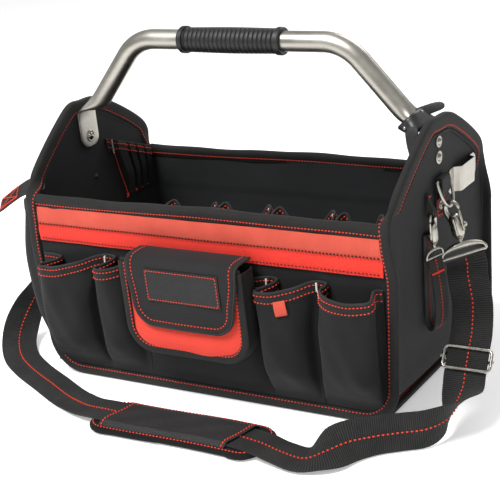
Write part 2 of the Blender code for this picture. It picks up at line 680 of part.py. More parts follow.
# Middle of the strap and the direction of its width, from the right hook over the floor to the left hook
STRAP_ROUTE = [
    ((0.3050, -0.010, 0.1480), FACING),
    ((0.3155, -0.024, 0.1200), FACING),
    ((0.3234, -0.0487, 0.0943), (0.83, 0.50, 0.05)),
    ((0.3262, -0.0644, 0.0821), (0.83, 0.50, 0.05)),
    ((0.3290, -0.0800, 0.0700), (0.83, 0.50, 0.05)),
    ((0.3318, -0.0956, 0.0579), (0.83, 0.50, 0.05)),
    ((0.3346, -0.1113, 0.0457), (0.80, 0.45, 0.20)),
    ((0.3360, -0.1480, 0.0330), (0.45, 0.10, 0.85)),
    ((0.3200, -0.178, 0.0270), (0.10, 0.00, 0.99)),
    ((0.2930, -0.198, 0.0262), (0, 0, 1)),
    ((0.2680, -0.216, 0.0262), (0, 0.05, 1)),
    ((0.2450, -0.236, 0.0250), (-0.10, 0.35, 0.90)),
    ((0.2240, -0.254, 0.0172), (-0.10, 0.80, 0.55)),
    ((0.1980, -0.263, 0.0068), (0.0, 0.99, 0.12)),
    ((0.1640, -0.258, 0.0068), (0.1, 0.99, 0)),
    ((0.1300, -0.251, 0.0104), (0.1, 0.99, 0)),
    ((0.0800, -0.247, 0.0106), (0, 1, 0)),
    ((0.0200, -0.247, 0.0106), (0, 1, 0)),
    ((-0.0500, -0.247, 0.0106), (0, 1, 0)),
    ((-0.1100, -0.243, 0.0102), (0.12, 0.99, 0)),
    ((-0.1500, -0.232, 0.0050), (0.30, 0.95, 0)),
    ((-0.1900, -0.215, 0.0017), (0.38, 0.92, 0)),
    ((-0.2400, -0.190, 0.0015), (0.43, 0.90, 0)),
    ((-0.3000, -0.160, 0.0015), (0.47, 0.88, 0)),
    ((-0.3450, -0.130, 0.0040), (0.55, 0.83, 0)),
    ((-0.3720, -0.095, 0.0200), (0.45, 0.89, 0.1)),
    ((-0.3740, -0.060, 0.0520), (0.25, 0.96, 0.1)),
    ((-0.3580, -0.032, 0.0880), (0.10, 0.99, 0)),
    ((-0.3350, -0.014, 0.1200), (0.0, 1.0, 0)),
    ((-0.3120, -0.004, 0.1490), (0, 1, 0)),
]
SLIDER_AT = 4  # the slider sits at this point of the route


def build_shoulder_strap(right_end, left_end):
    """right_end and left_end are each hook's bar, as snap_hook returns it."""
    first, last = ([(bar + drop * down, along) for drop in (0.0040, 0.0150)] for bar, down, along in (right_end, left_end))
    route = first + STRAP_ROUTE + last[::-1]
    path = smooth_path([point for point, _ in route], 3)
    widths = smooth_path([across for _, across in route], 3)
    ribbon("shoulder_strap", list(zip(path, widths)), STRAP_WIDTH, STRAP_THICK, "webbing")

    point, across = (Vector(part) for part in STRAP_ROUTE[SLIDER_AT])
    ahead = (Vector(STRAP_ROUTE[SLIDER_AT + 1][0]) - Vector(STRAP_ROUTE[SLIDER_AT - 1][0])).normalized()
    across = (across - across.dot(ahead) * ahead).normalized()
    out = ahead.cross(across)
    if out.x < 0:
        out = -out
    half_w, half_h, lift, wire = STRAP_WIDTH / 2 + 0.0036, 0.0145, 0.0042, 0.0020
    corners = ((-1, -1), (0, -1), (1, -1), (1, 0), (1, 1), (0, 1), (-1, 1), (-1, 0))
    frame = [point + a * half_w * across + b * half_h * ahead + lift * out for a, b in corners]
    slider = tube("strap_slider", frame, wire, "nickel", out, closed=True)
    reach = half_w + 0.0015
    bar = [(-reach, lift), (-reach, -lift), (0, -lift), (reach, -lift), (reach, lift)]
    bar_path = [point + a * across + b * out for a, b in bar]
    combine(slider, tube("slider_bar", bar_path, 0.0018, "nickel", ahead), "UNION")

    half_l, half_p, low, high, corner = 0.124, 0.039, 0.0004, 0.0090, 0.012
    outline = []
    for sx, sy in ((1, 1), (-1, 1), (-1, -1), (1, -1)):
        start = {(1, 1): 0, (-1, 1): 1, (-1, -1): 2, (1, -1): 3}[(sx, sy)] * math.pi / 2
        for i in range(4):
            a = start + math.pi / 6 * i
            outline.append((sx * (half_l - corner) + corner * math.cos(a), sy * (half_p - corner) + corner * math.sin(a)))
    rings = []
    for z, shrink in ((low, 0.97), (low + 0.0015, 1.0), (high - 0.0040, 1.0), (high, 0.90)):
        rings.append([(0.014 + shrink * x, -0.247 + shrink * y, z) for x, y in outline])
    loft("shoulder_pad", rings, "black_fabric")


def main():
    for obj in list(bpy.data.objects):
        bpy.data.objects.remove(obj, do_unlink=True)
    build_shell()
    build_bindings()
    build_pockets()
    build_end_pocket()
    build_tool_loops()
    build_pouch()
    build_handle()
    build_handle_rivets()
    build_tape_strap()
    build_tape_clip()
    build_shoulder_strap(*build_hooks())


main()
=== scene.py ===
import math

import bmesh
import bpy
import numpy as np
from mathutils import Matrix, Vector


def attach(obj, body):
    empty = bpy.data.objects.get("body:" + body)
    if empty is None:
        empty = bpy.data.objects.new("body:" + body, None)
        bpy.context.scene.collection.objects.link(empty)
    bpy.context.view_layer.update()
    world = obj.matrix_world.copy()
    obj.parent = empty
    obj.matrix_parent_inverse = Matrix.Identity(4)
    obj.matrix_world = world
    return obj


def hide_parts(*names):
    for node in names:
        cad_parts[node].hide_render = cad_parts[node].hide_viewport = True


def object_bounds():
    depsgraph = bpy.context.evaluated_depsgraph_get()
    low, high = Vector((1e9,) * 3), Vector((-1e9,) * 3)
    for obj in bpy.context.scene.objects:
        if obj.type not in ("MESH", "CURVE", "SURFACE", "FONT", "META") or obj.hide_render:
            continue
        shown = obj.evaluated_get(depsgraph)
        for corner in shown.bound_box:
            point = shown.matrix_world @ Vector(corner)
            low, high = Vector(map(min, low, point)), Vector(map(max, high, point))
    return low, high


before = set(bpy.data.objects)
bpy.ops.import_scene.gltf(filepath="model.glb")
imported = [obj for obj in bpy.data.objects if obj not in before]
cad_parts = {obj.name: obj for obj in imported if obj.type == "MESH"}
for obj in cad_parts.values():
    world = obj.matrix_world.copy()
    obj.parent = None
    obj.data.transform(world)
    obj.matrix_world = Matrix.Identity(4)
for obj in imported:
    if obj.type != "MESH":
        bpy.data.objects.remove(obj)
cad_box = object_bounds()

# ---------------------------------------------------------------- sizes shared with the CAD, in metres

HALF_LENGTH, FLARE, WALL = 0.254, 0.06, 0.005
HALF_DEPTH, LEAN = 0.145, 0.029
FRONT_TOP, BACK_TOP = 0.247, 0.235
HANDLE_TOP, PIVOT_Z, FOOT_X = 0.437, 0.297, 0.2633
CORNER = 0.042
TAPE_Y = -0.037
STRAP_WIDTH, TAPE_WIDTH = 0.050, 0.025
FACING = (0.83, 0.56, 0.0)
PEAK = [(-0.1377, 0.252), (-0.118, 0.285), (-0.036, 0.342), (0.0, 0.347), (0.048, 0.338), (0.128, 0.284),
    (0.1379, 0.245)]


def end_x(z):
    return HALF_LENGTH + FLARE * z


def front_y(z):
    return -HALF_DEPTH + LEAN * z


# ---------------------------------------------------------------- camera and light

C_YAW, C_PITCH, C_ROLL = math.radians(-33.7), math.radians(-20.2), math.radians(-6.8)


def make_camera():
    ahead = Vector((math.cos(C_PITCH) * math.sin(C_YAW), math.cos(C_PITCH) * math.cos(C_YAW),
        math.sin(C_PITCH)))
    right = Vector((math.cos(C_YAW), -math.sin(C_YAW), 0))
    up = right.cross(ahead)
    turned = math.cos(C_ROLL) * right + math.sin(C_ROLL) * up
    up = -math.sin(C_ROLL) * right + math.cos(C_ROLL) * up
    data = bpy.data.cameras.new("camera")
    data.lens = 100.8
    data.sensor_width = 36
    camera = bpy.data.objects.new("camera", data)
    turn = Matrix((turned, up, -ahead)).transposed().to_4x4()
    camera.matrix_world = Matrix.Translation((0.971, -1.481, 0.803)) @ turn
    bpy.context.scene.collection.objects.link(camera)
    bpy.context.scene.camera = camera


def area_light(name, place, target, size, power):
    data = bpy.data.lights.new(name, "AREA")
    data.shape = "DISK"
    data.size = size
    data.energy = power
    light = bpy.data.objects.new(name, data)
    light.matrix_world = Matrix.Translation(place) @ (Vector(target) - Vector(place)).to_track_quat("-Z",
        "Y").to_matrix().to_4x4()
    bpy.context.scene.collection.objects.link(light)


def make_stage():
    area_light("key", (-0.6, -1.5, 2.7), (0, 0, 0.15), 1.5, 112)
    area_light("fill", (2.3, -1.1, 1.1), (0, 0, 0.15), 1.8, 5.5)
    area_light("back", (0.2, 2.0, 1.8), (0, 0, 0.15), 1.5, 22)
    world = bpy.data.worlds.new("studio")
    world.use_nodes = True
    world.node_tree.nodes["Background"].inputs["Color"].default_value = (1.0, 1.0, 1.0, 1)
    world.node_tree.nodes["Background"].inputs["Strength"].default_value = 0.42
    bpy.context.scene.world = world
    bpy.context.scene.view_settings.view_transform = "Standard"
    mesh = bpy.data.meshes.new("floor")
    far = 12.0
    low = cad_box[0][2] - 0.0004
    mesh.from_pydata([(-far, -far, low), (far, -far, low), (far, far, low), (-far, far, low)], [],
        [(0, 1, 2, 3)])
    floor = bpy.data.objects.new("floor", mesh)
    bpy.context.scene.collection.objects.link(floor)
    pale = bpy.data.materials.new("floor_white")
    pale.use_nodes = True
    shader = pale.node_tree.nodes["Principled BSDF"]
    shader.inputs["Base Color"].default_value = (0.93, 0.93, 0.93, 1)
    shader.inputs["Roughness"].default_value = 0.9
    shader.inputs["Emission Color"].default_value = (1, 1, 1, 1)
    shader.inputs["Emission Strength"].default_value = 0.36
    mesh.materials.append(pale)


make_camera()
make_stage()

# ---------------------------------------------------------------- materials


class Graph:
    """Short names for the nodes that the procedural materials are made of."""

    def __init__(self, name, **inputs):
        self.material = bpy.data.materials.new(name)
        self.material.use_nodes = True
        self.tree = self.material.node_tree
        self.shader = self.tree.nodes["Principled BSDF"]
        for key, value in inputs.items():
            self.shader.inputs[key.replace("_", " ")].default_value = value

    def node(self, kind, **settings):
        node = self.tree.nodes.new(kind)
        for key, value in settings.items():
            setattr(node, key, value)
        return node

    def feed(self, node, key, value):
        if isinstance(value, bpy.types.NodeSocket):
            self.tree.links.new(value, node.inputs[key])
        else:
            node.inputs[key].default_value = value

    def math(self, operation, *values):
        node = self.node("ShaderNodeMath", operation=operation)
        for i, value in enumerate(values):
            self.feed(node, i, value)
        return node.outputs[0]

    def uv(self):
        split = self.node("ShaderNodeSeparateXYZ")
        self.feed(split, 0, self.node("ShaderNodeTexCoord").outputs["UV"])
        return split.outputs[0], split.outputs[1]

    def noise(self, scale, detail=3.0, rough=0.55, stretch=None):
        place = self.node("ShaderNodeTexCoord").outputs["Object"]
        if stretch:
            mapping = self.node("ShaderNodeMapping")
            mapping.inputs["Scale"].default_value = stretch
            self.feed(mapping, "Vector", place)
            place = mapping.outputs[0]
        node = self.node("ShaderNodeTexNoise")
        self.feed(node, "Vector", place)
        node.inputs["Scale"].default_value = scale
        node.inputs["Detail"].default_value = detail
        node.inputs["Roughness"].default_value = rough
        return node.outputs["Fac"]

    def ramp(self, value, *stops):
        node = self.node("ShaderNodeValToRGB")
        elements = node.color_ramp.elements
        while len(elements) < len(stops):
            elements.new(0.5)
        for element, (place, colour) in zip(elements, stops):
            element.position = place
            element.color = (*colour, 1)
        self.feed(node, 0, value)
        return node.outputs[0]

    def span(self, value, low, high, to_low=0.0, to_high=1.0):
        node = self.node("ShaderNodeMapRange")
        for i, item in enumerate((value, low, high, to_low, to_high)):
            self.feed(node, i, item)
        return node.outputs[0]

    def bump(self, height, distance, strength=1.0, base=None):
        node = self.node("ShaderNodeBump")
        node.inputs["Strength"].default_value = strength
        node.inputs["Distance"].default_value = distance
        self.feed(node, "Height", height)
        if base is not None:
            self.feed(node, "Normal", base)
        return node.outputs[0]

    def finish(self, colour=None, rough=None, normal=None):
        for key, value in (("Base Color", colour), ("Roughness", rough), ("Normal", normal)):
            if value is not None:
                self.feed(self.shader, key, value)
        return self.material


def weave_height(g, pitch, diagonal=False, cell=1.0):
    """Height of a plain or basket weave, 0 to 1, from texture coordinates in metres."""
    u, v = g.uv()
    if diagonal:
        u, v = g.math("ADD", u, v), g.math("SUBTRACT", u, v)
    x, y = g.math("DIVIDE", u, pitch), g.math("DIVIDE", v, pitch)
    warp = g.math("ABSOLUTE", g.math("SINE", g.math("MULTIPLY", x, math.pi)))
    weft = g.math("ABSOLUTE", g.math("SINE", g.math("MULTIPLY", y, math.pi)))
    cells = [g.math("FLOOR", g.math("DIVIDE", part, cell)) for part in (x, y)]
    over = g.math("PINGPONG", g.math("ADD", *cells), 1.0)
    node = g.node("ShaderNodeMix", data_type="FLOAT")
    for key, value in ((0, over), (2, warp), (3, weft)):
        g.feed(node, key, value)
    return node.outputs[0]


def woven(name, dark, light, pitch=0.0011, depth=0.00022, sheen=0.05, rough=0.78, diagonal=False, cell=1.0,
        mottle=0.35):
    g = Graph(name, Sheen_Weight=sheen, Sheen_Roughness=0.45, Specular_IOR_Level=0.22)
    height = weave_height(g, pitch, diagonal, cell)
    patches = g.span(g.noise(9.0, 4.0), 0.3, 0.7)
    lint = g.span(g.noise(420.0, 2.0), 0.55, 0.8)
    level = g.math("ADD", g.math("MULTIPLY", height, 1 - mottle), g.math("MULTIPLY", patches, mottle))
    level = g.math("ADD", level, g.math("MULTIPLY", lint, 0.12))
    colour = g.ramp(level, (0.08, dark), (0.95, light))
    crumple = g.noise(38.0, 3.0, 0.5)
    normal = g.bump(crumple, 0.0009, 0.55)
    normal = g.bump(height, depth, 0.8, normal)
    return g.finish(colour, g.span(height, 0, 1, rough + 0.1, rough - 0.08), normal)


def ribbed(name, dark, light, pitch, sheen=0.05, depth=0.0004, rough=0.75, along=True):
    """Webbing: ribs across the strap and fine warp threads along it."""
    g = Graph(name, Sheen_Weight=sheen, Sheen_Roughness=0.4, Specular_IOR_Level=0.22)
    u, v = g.uv()
    run, across = (u, v) if along else (v, u)
    ribs = g.math("ABSOLUTE", g.math("SINE", g.math("MULTIPLY", run, math.pi / pitch)))
    threads = g.math("ABSOLUTE", g.math("SINE", g.math("MULTIPLY", across, math.pi / (0.55 * pitch))))
    height = g.math("ADD", g.math("MULTIPLY", ribs, 0.75), g.math("MULTIPLY", threads, 0.25))
    wear = g.span(g.noise(30.0, 4.0), 0.35, 0.75)
    level = g.math("ADD", g.math("MULTIPLY", height, 0.7), g.math("MULTIPLY", wear, 0.3))
    colour = g.ramp(level, (0.1, dark), (0.95, light))
    return g.finish(colour, g.span(height, 0, 1, rough + 0.1, rough - 0.05), g.bump(height, depth, 0.9))


def thread(name, dark, light):
    g = Graph(name, Sheen_Weight=0.05, Specular_IOR_Level=0.25)
    twist = g.noise(900.0, 2.0)
    return g.finish(g.ramp(twist, (0.3, dark), (0.7, light)), 0.55, g.bump(twist, 0.0002, 0.8))


def metal(name, dark, light, rough, brushed=(1, 1, 1), scratch=0.25):
    g = Graph(name, Metallic=1.0)
    grain = g.noise(160.0, 5.0, 0.6, brushed)
    smudge = g.noise(14.0, 4.0, 0.6)
    colour = g.ramp(g.math("ADD", g.math("MULTIPLY", grain, 0.4), g.math("MULTIPLY", smudge, 0.6)), (0.3, dark),
        (0.7, light))
    worn = g.span(smudge, 0.3, 0.7, rough - 0.07, rough + 0.12)
    return g.finish(colour, g.math("ADD", worn, g.math("MULTIPLY", grain, 0.06)),
        g.bump(grain, 0.0001, scratch))


def moulded(name, dark, light, rough=0.5, grain=260.0, depth=0.0002):
    g = Graph(name, Specular_IOR_Level=0.45)
    pits = g.noise(grain, 4.0, 0.6)
    dust = g.span(g.noise(12.0, 4.0), 0.35, 0.7)
    colour = g.ramp(g.math("ADD", g.math("MULTIPLY", pits, 0.4), g.math("MULTIPLY", dust, 0.6)), (0.25, dark),
        (0.8, light))
    return g.finish(colour, g.span(pits, 0.3, 0.7, rough - 0.08, rough + 0.12), g.bump(pits, depth, 0.6))


def hooked(name, colour, pitch):
    g = Graph(name, Sheen_Weight=0.4)
    node = g.node("ShaderNodeTexVoronoi")
    g.feed(node, "Vector", g.node("ShaderNodeTexCoord").outputs["Object"])
    node.inputs["Scale"].default_value = 1 / pitch
    dots = g.span(node.outputs["Distance"], 0.0, 0.6, 1.0, 0.0)
    light = tuple(2.2 * part for part in colour)
    return g.finish(g.ramp(dots, (0.1, colour), (0.9, light)), 0.85, g.bump(dots, 0.0007, 1.0))


LOOKS = {
    "panel": (woven("panel_fabric", (0.0055, 0.0058, 0.0063), (0.0150, 0.0156, 0.0168)), "black_fabric"),
    # the panel cloth again at twice the brightness, for the back wall: painted light standing in for light on the
    # wall's inside
    "panel_painted_light": (woven("panel_fabric_painted_light", (0.0110, 0.0115, 0.0122), (0.0290, 0.0300, 0.0318)), "black_fabric"),
    "pocket": (woven("pocket_fabric", (0.0034, 0.0036, 0.0040), (0.0118, 0.0122, 0.0132), 0.0013, cell=2.0),
        "black_fabric"),
    "flap": (
        woven("ballistic_fabric", (0.0045, 0.0045, 0.005), (0.021, 0.021, 0.0225), 0.0019, 0.0004,
            diagonal=True, cell=2.0),
        "black_fabric",
    ),
    "binding": (ribbed("binding_tape", (0.0085, 0.0080, 0.0078), (0.023, 0.022, 0.021), 0.0011), "binding"),
    "hem": (ribbed("hem_tape", (0.011, 0.011, 0.011), (0.040, 0.040, 0.041), 0.0010), "binding"),
    "red_mesh": (ribbed("red_rib_tape", (0.47, 0.057, 0.034), (0.68, 0.106, 0.070), 0.0016, 0.05),
        "red_fabric"),
    "red": (
        woven("red_fabric", (0.58, 0.018, 0.011), (0.84, 0.050, 0.030), 0.0016, 0.0003, 0.1, 0.75, cell=2.0,
            mottle=0.25),
        "red_fabric",
    ),
    "red_face": (
        woven("red_pouch_fabric", (0.58, 0.024, 0.015), (0.84, 0.075, 0.045), 0.0018, 0.0003, 0.1, 0.75, True,
            2.0, 0.25),
        "red_fabric",
    ),
    "webbing": (ribbed("black_webbing", (0.0030, 0.0030, 0.0033), (0.038, 0.037, 0.036), 0.0025, depth=0.0011),
        "webbing"),
    "satin": (woven("satin_label", (0.005, 0.005, 0.0055), (0.013, 0.013, 0.014), 0.0006, 0.0001, 0.2, 0.45),
        "black_fabric"),
    "thread": (thread("red_thread", (0.60, 0.030, 0.012), (0.86, 0.075, 0.030)), "red_fabric"),
    "dark_thread": (thread("dark_thread", (0.030, 0.004, 0.004), (0.075, 0.008, 0.006)), "red_fabric"),
    "white_thread": (thread("white_thread", (0.50, 0.48, 0.46), (0.80, 0.78, 0.76)), "binding"),
    "steel": (metal("satin_steel", (0.36, 0.34, 0.30), (0.52, 0.50, 0.45), 0.31, (0.05, 1, 1)), "steel"),
    "nickel": (metal("nickel_plate", (0.26, 0.245, 0.21), (0.56, 0.54, 0.48), 0.21), "nickel"),
    "rubber": (moulded("grip_rubber", (0.006, 0.006, 0.007), (0.014, 0.014, 0.0155), 0.46), "rubber"),
    "badge": (moulded("badge_rubber", (0.0035, 0.0035, 0.004), (0.009, 0.009, 0.0095), 0.58, 500.0), "rubber"),
    "leather": (moulded("black_leather", (0.009, 0.009, 0.0095), (0.024, 0.024, 0.025), 0.42, 190.0, 0.0005),
        "leather"),
    "board": (woven("board_cloth", (0.008, 0.008, 0.009), (0.020, 0.020, 0.022), 0.0022, 0.0004, cell=2.0),
        "board"),
    "hooks": (hooked("hook_tape", (0.010, 0.010, 0.011), 0.0016), "tape"),
    "loops": (hooked("loop_tape", (0.012, 0.012, 0.013), 0.0009), "tape"),
}

# ---------------------------------------------------------------- mesh tools


def add(name, points, faces, look, body="bag", uvs=None, replaces=(), sharp=38.0):
    """Closed piece from points and faces. uvs holds one (u, v) for each corner of each face, in metres."""
    mesh = bpy.data.meshes.new(name)
    mesh.from_pydata(np.asarray(points).tolist(), [], faces)
    if uvs is not None:
        layer = mesh.uv_layers.new(name="weave")
        layer.data.foreach_set("uv", np.asarray(uvs, np.float32).ravel())
    work = bmesh.new()
    work.from_mesh(mesh)
    bmesh.ops.recalc_face_normals(work, faces=work.faces)
    work.to_mesh(mesh)
    work.free()
    mesh.shade_smooth()
    mesh.set_sharp_from_angle(angle=math.radians(sharp))
    material, slot = LOOKS[look]
    mesh.materials.append(material)
    obj = bpy.data.objects.new(name, mesh)
    bpy.context.scene.collection.objects.link(obj)
    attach(obj, body)
    if replaces:
        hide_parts(*replaces)
    return obj


def steps(points):
    """Distance along a run of points."""
    gaps = np.linalg.norm(np.diff(points, axis=0), axis=1)
    return np.concatenate([[0], np.cumsum(gaps)])


def curve(points, pieces):
    """Catmull-Rom run through rows of numbers, with a number of pieces between each two."""
    points = np.asarray(points, float)
    ends = np.vstack([2 * points[0] - points[1], points, 2 * points[-1] - points[-2]])
    t = np.arange(pieces)[:, None] / pieces
    runs = []
    for a, b, c, d in zip(ends, ends[1:], ends[2:], ends[3:]):
        runs.append(0.5 * (2 * b + t * (c - a) + t**2 * (2 * a - 5 * b + 4 * c - d) + t**3 * (3 * b - a - 3 * c + d)))
    return np.vstack([*runs, points[-1:]])


def even(points, step):
    """The run again, with equal steps. Columns past the third are carried along."""
    points = np.asarray(points, float)
    run = steps(points[:, :3])
    count = max(2, int(round(run[-1] / step)) + 1)
    at = np.linspace(0, run[-1], count)
    return np.stack([np.interp(at, run, column) for column in points.T], axis=1)


def unit(vectors):
    return vectors / np.maximum(np.linalg.norm(vectors, axis=-1, keepdims=True), 1e-12)


def tangents(points):
    return unit(np.gradient(points, axis=0))


def smooth(value):
    value = np.clip(value, 0, 1)
    return value * value * (3 - 2 * value)


def shell(name, outer, inner, look, **options):
    """Closed skin between two grids of points, each rows by columns."""
    outer, inner = np.asarray(outer, float), np.asarray(inner, float)
    rows, columns, _ = outer.shape
    points = np.vstack([outer.reshape(-1, 3), inner.reshape(-1, 3)])
    middle = outer[rows // 2]
    u = np.concatenate([[0], np.cumsum(np.linalg.norm(np.diff(middle, axis=0), axis=1))])
    side = outer[:, columns // 2]
    v = np.concatenate([[0], np.cumsum(np.linalg.norm(np.diff(side, axis=0), axis=1))])
    faces, uvs = [], []

    def at(i, j, layer):
        return layer * rows * columns + i * columns + j

    def quad(corners):
        faces.append(tuple(at(i, j, layer) for i, j, layer in corners))
        uvs.extend((u[j], v[i]) for i, j, _ in corners)

    for i in range(rows - 1):
        for j in range(columns - 1):
            quad(((i, j, 0), (i, j + 1, 0), (i + 1, j + 1, 0), (i + 1, j, 0)))
            quad(((i, j, 1), (i + 1, j, 1), (i + 1, j + 1, 1), (i, j + 1, 1)))
    for i in range(rows - 1):
        quad(((i, 0, 0), (i + 1, 0, 0), (i + 1, 0, 1), (i, 0, 1)))
        quad(((i, columns - 1, 0), (i, columns - 1, 1), (i + 1, columns - 1, 1), (i + 1, columns - 1, 0)))
    for j in range(columns - 1):
        quad(((0, j, 0), (0, j, 1), (0, j + 1, 1), (0, j + 1, 0)))
        quad(((rows - 1, j, 0), (rows - 1, j + 1, 0), (rows - 1, j + 1, 1), (rows - 1, j, 1)))
    return add(name, points, faces, look, uvs=uvs, **options)


def grid_normals(grid):
    return unit(np.cross(np.gradient(grid, axis=1), np.gradient(grid, axis=0)))


def cloth(name, grid, thick, look, flip=1, **options):
    """Sheet of even thickness whose outer face is the grid."""
    return shell(name, grid, grid - flip * thick * grid_normals(grid), look, **options)


def sweep(name, path, across, section, look, closed=False, **options):
    """Solid with a cross-section of (across, up) points carried along a path. section may change from point to point."""
    path = np.asarray(path, float)
    if closed:
        ahead = unit(np.roll(path, -1, axis=0) - np.roll(path, 1, axis=0))
    else:
        ahead = tangents(path)
    across = np.asarray(across, float) * np.ones_like(path)
    across = square_to(across, ahead)
    up = np.cross(ahead, across)
    section = np.asarray(section, float)
    if section.ndim == 2:
        section = np.repeat(section[None], len(path), axis=0)
    rings = path[:, None] + section[:, :, :1] * across[:, None] + section[:, :, 1:2] * up[:, None]
    count, k = len(path), section.shape[1]
    run = steps(path)
    round_it = np.concatenate([[0],
        np.cumsum(np.linalg.norm(np.diff(np.vstack([section[0], section[0][:1]]), axis=0), axis=1))])
    faces, uvs = [], []
    spans = count if closed else count - 1
    for i in range(spans):
        n = (i + 1) % count
        far = run[n] if n else run[-1] + np.linalg.norm(path[0] - path[-1])
        for j in range(k):
            m = (j + 1) % k
            faces.append((i * k + j, i * k + m, n * k + m, n * k + j))
            uvs += [(run[i], round_it[j]), (run[i], round_it[j + 1]), (far, round_it[j + 1]),
                (far, round_it[j])]
    if not closed:
        for i in (0, count - 1):
            faces.append(tuple(range(i * k, (i + 1) * k)))
            uvs += [(section[i][j][0], section[i][j][1]) for j in range(k)]
    return add(name, rings.reshape(-1, 3), faces, look, uvs=uvs, **options)


def oval(wide, high, count=14, power=0.75):
    """Rounded flat section, half wide by half high. A power below 1 squares it up."""
    a = 2 * np.pi * (np.arange(count) + 0.5) / count
    x, y = np.cos(a), np.sin(a)
    return np.stack([wide * np.sign(x) * np.abs(x) ** power, high * np.sign(y) * np.abs(y) ** power], axis=1)


def turned(name, profile, origin, axis, look, segments=32, **options):
    """Turned piece: profile is (distance along the axis, radius) and closes on the axis or on itself."""
    axis = Vector(axis).normalized()
    side = axis.orthogonal().normalized()
    other = axis.cross(side)
    a = 2 * np.pi * np.arange(segments) / segments
    ring = np.cos(a)[:, None] * np.array(side) + np.sin(a)[:, None] * np.array(other)
    points = [np.array(origin) + along * np.array(axis) + radius * ring for along, radius in profile]
    faces, uvs = [], []
    run = steps(np.array([(along, radius, 0) for along, radius in profile]))
    turn = 2 * math.pi * max(radius for _, radius in profile) / segments
    for i in range(len(profile) - 1):
        for j in range(segments):
            m = (j + 1) % segments
            faces.append((i * segments + j, i * segments + m, (i + 1) * segments + m, (i + 1) * segments + j))
            uvs += [(run[i], j * turn), (run[i], (j + 1) * turn), (run[i + 1], (j + 1) * turn),
                (run[i + 1], j * turn)]
    if profile[0] != profile[-1]:
        for i in (0, len(profile) - 1):
            faces.append(tuple(range(i * segments, (i + 1) * segments)))
            uvs += [(0, 0)] * segments
        return add(name, np.vstack(points), faces, look, uvs=uvs, **options)
    last = (len(profile) - 2) * segments
    faces = [tuple(index - last - segments if index >= last + segments else index for index in face) for face in faces]
    return add(name, np.vstack(points[:-1]), faces, look, uvs=uvs, **options)


def mixed(parts, name, look, body="bag", replaces=(), sharp=38.0):
    """One piece out of several (points, faces) lumps, without texture coordinates."""
    points, faces, start = [], [], 0
    for lump, sides in parts:
        points.append(np.asarray(lump, float))
        faces += [tuple(start + index for index in side) for side in sides]
        start += len(lump)
    return add(name, np.vstack(points), faces, look, body, replaces=replaces, sharp=sharp)


class Stitches:
    """Rows of thread laid on surfaces, gathered into one piece."""

    def __init__(self):
        self.parts = []

    def row(self, path, normals, pitch=0.0052, length=0.0038, width=0.00055, rise=0.0006, sides=5):
        path = np.asarray(path, float)
        normals = np.asarray(normals, float) * np.ones_like(path)
        laid = even(np.hstack([path, normals]), pitch / 4)
        run = steps(laid[:, :3])
        total = run[-1]
        count = max(1, int(total / pitch))
        for i in range(count):
            middle = (i + 0.5) * total / count
            at = [middle - length / 2, middle - length / 4, middle, middle + length / 4, middle + length / 2]
            rows = np.stack([np.interp(at, run, column) for column in laid.T], axis=1)
            spot, up = rows[:, :3], unit(rows[:, 3:])
            ahead = unit(spot[-1] - spot[0])
            side = unit(np.cross(ahead, up[2]))
            lifts = np.array([-0.3, 0.75, 1.0, 0.75, -0.3]) * rise
            sizes = np.array([0.35, 0.95, 1.0, 0.95, 0.35]) * width
            a = 2 * np.pi * np.arange(sides) / sides
            points = []
            for place, normal, lift, size in zip(spot, up, lifts, sizes):
                ring = np.cos(a)[:, None] * side + np.sin(a)[:, None] * normal
                points.append(place + lift * normal + size * ring)
            faces = []
            for r in range(4):
                for j in range(sides):
                    m = (j + 1) % sides
                    faces.append((r * sides + j, r * sides + m, (r + 1) * sides + m, (r + 1) * sides + j))
            faces.append(tuple(range(sides)))
            faces.append(tuple(range(4 * sides, 5 * sides)))
            self.parts.append((np.vstack(points), faces))

    def tack(self, centre, along, out, length=0.011, width=0.0022):
        """Dense bar of short cross stitches."""
        centre, along, out = (np.array(part, float) for part in (centre, along, out))
        along, out = unit(along), unit(out)
        side = unit(np.cross(along, out))
        for i in range(9):
            spot = centre + (i / 8 - 0.5) * length * along
            lean = 0.0004 * (-1) ** i * along
            self.row([spot - width / 2 * side - lean, spot, spot + width / 2 * side + lean], out, 1.0, width,
                0.0008, 0.0005)

    def lay(self, name, look="thread", body="bag"):
        return mixed(self.parts, name, look, body)


red, dark, white = Stitches(), Stitches(), Stitches()

def square_to(across, ahead):
    """Unit vectors along across, made square to the unit vectors ahead."""
    return unit(across - (across * ahead).sum(axis=1, keepdims=True) * ahead)


def looped(points, step):
    """Even points round a closed loop."""
    return even(np.array(points + points[:1]), step)[:-1]


def spread(column, count):
    """A grid that repeats one column."""
    return np.repeat(column[:, None], count, axis=1)


# ---------------------------------------------------------------- straps

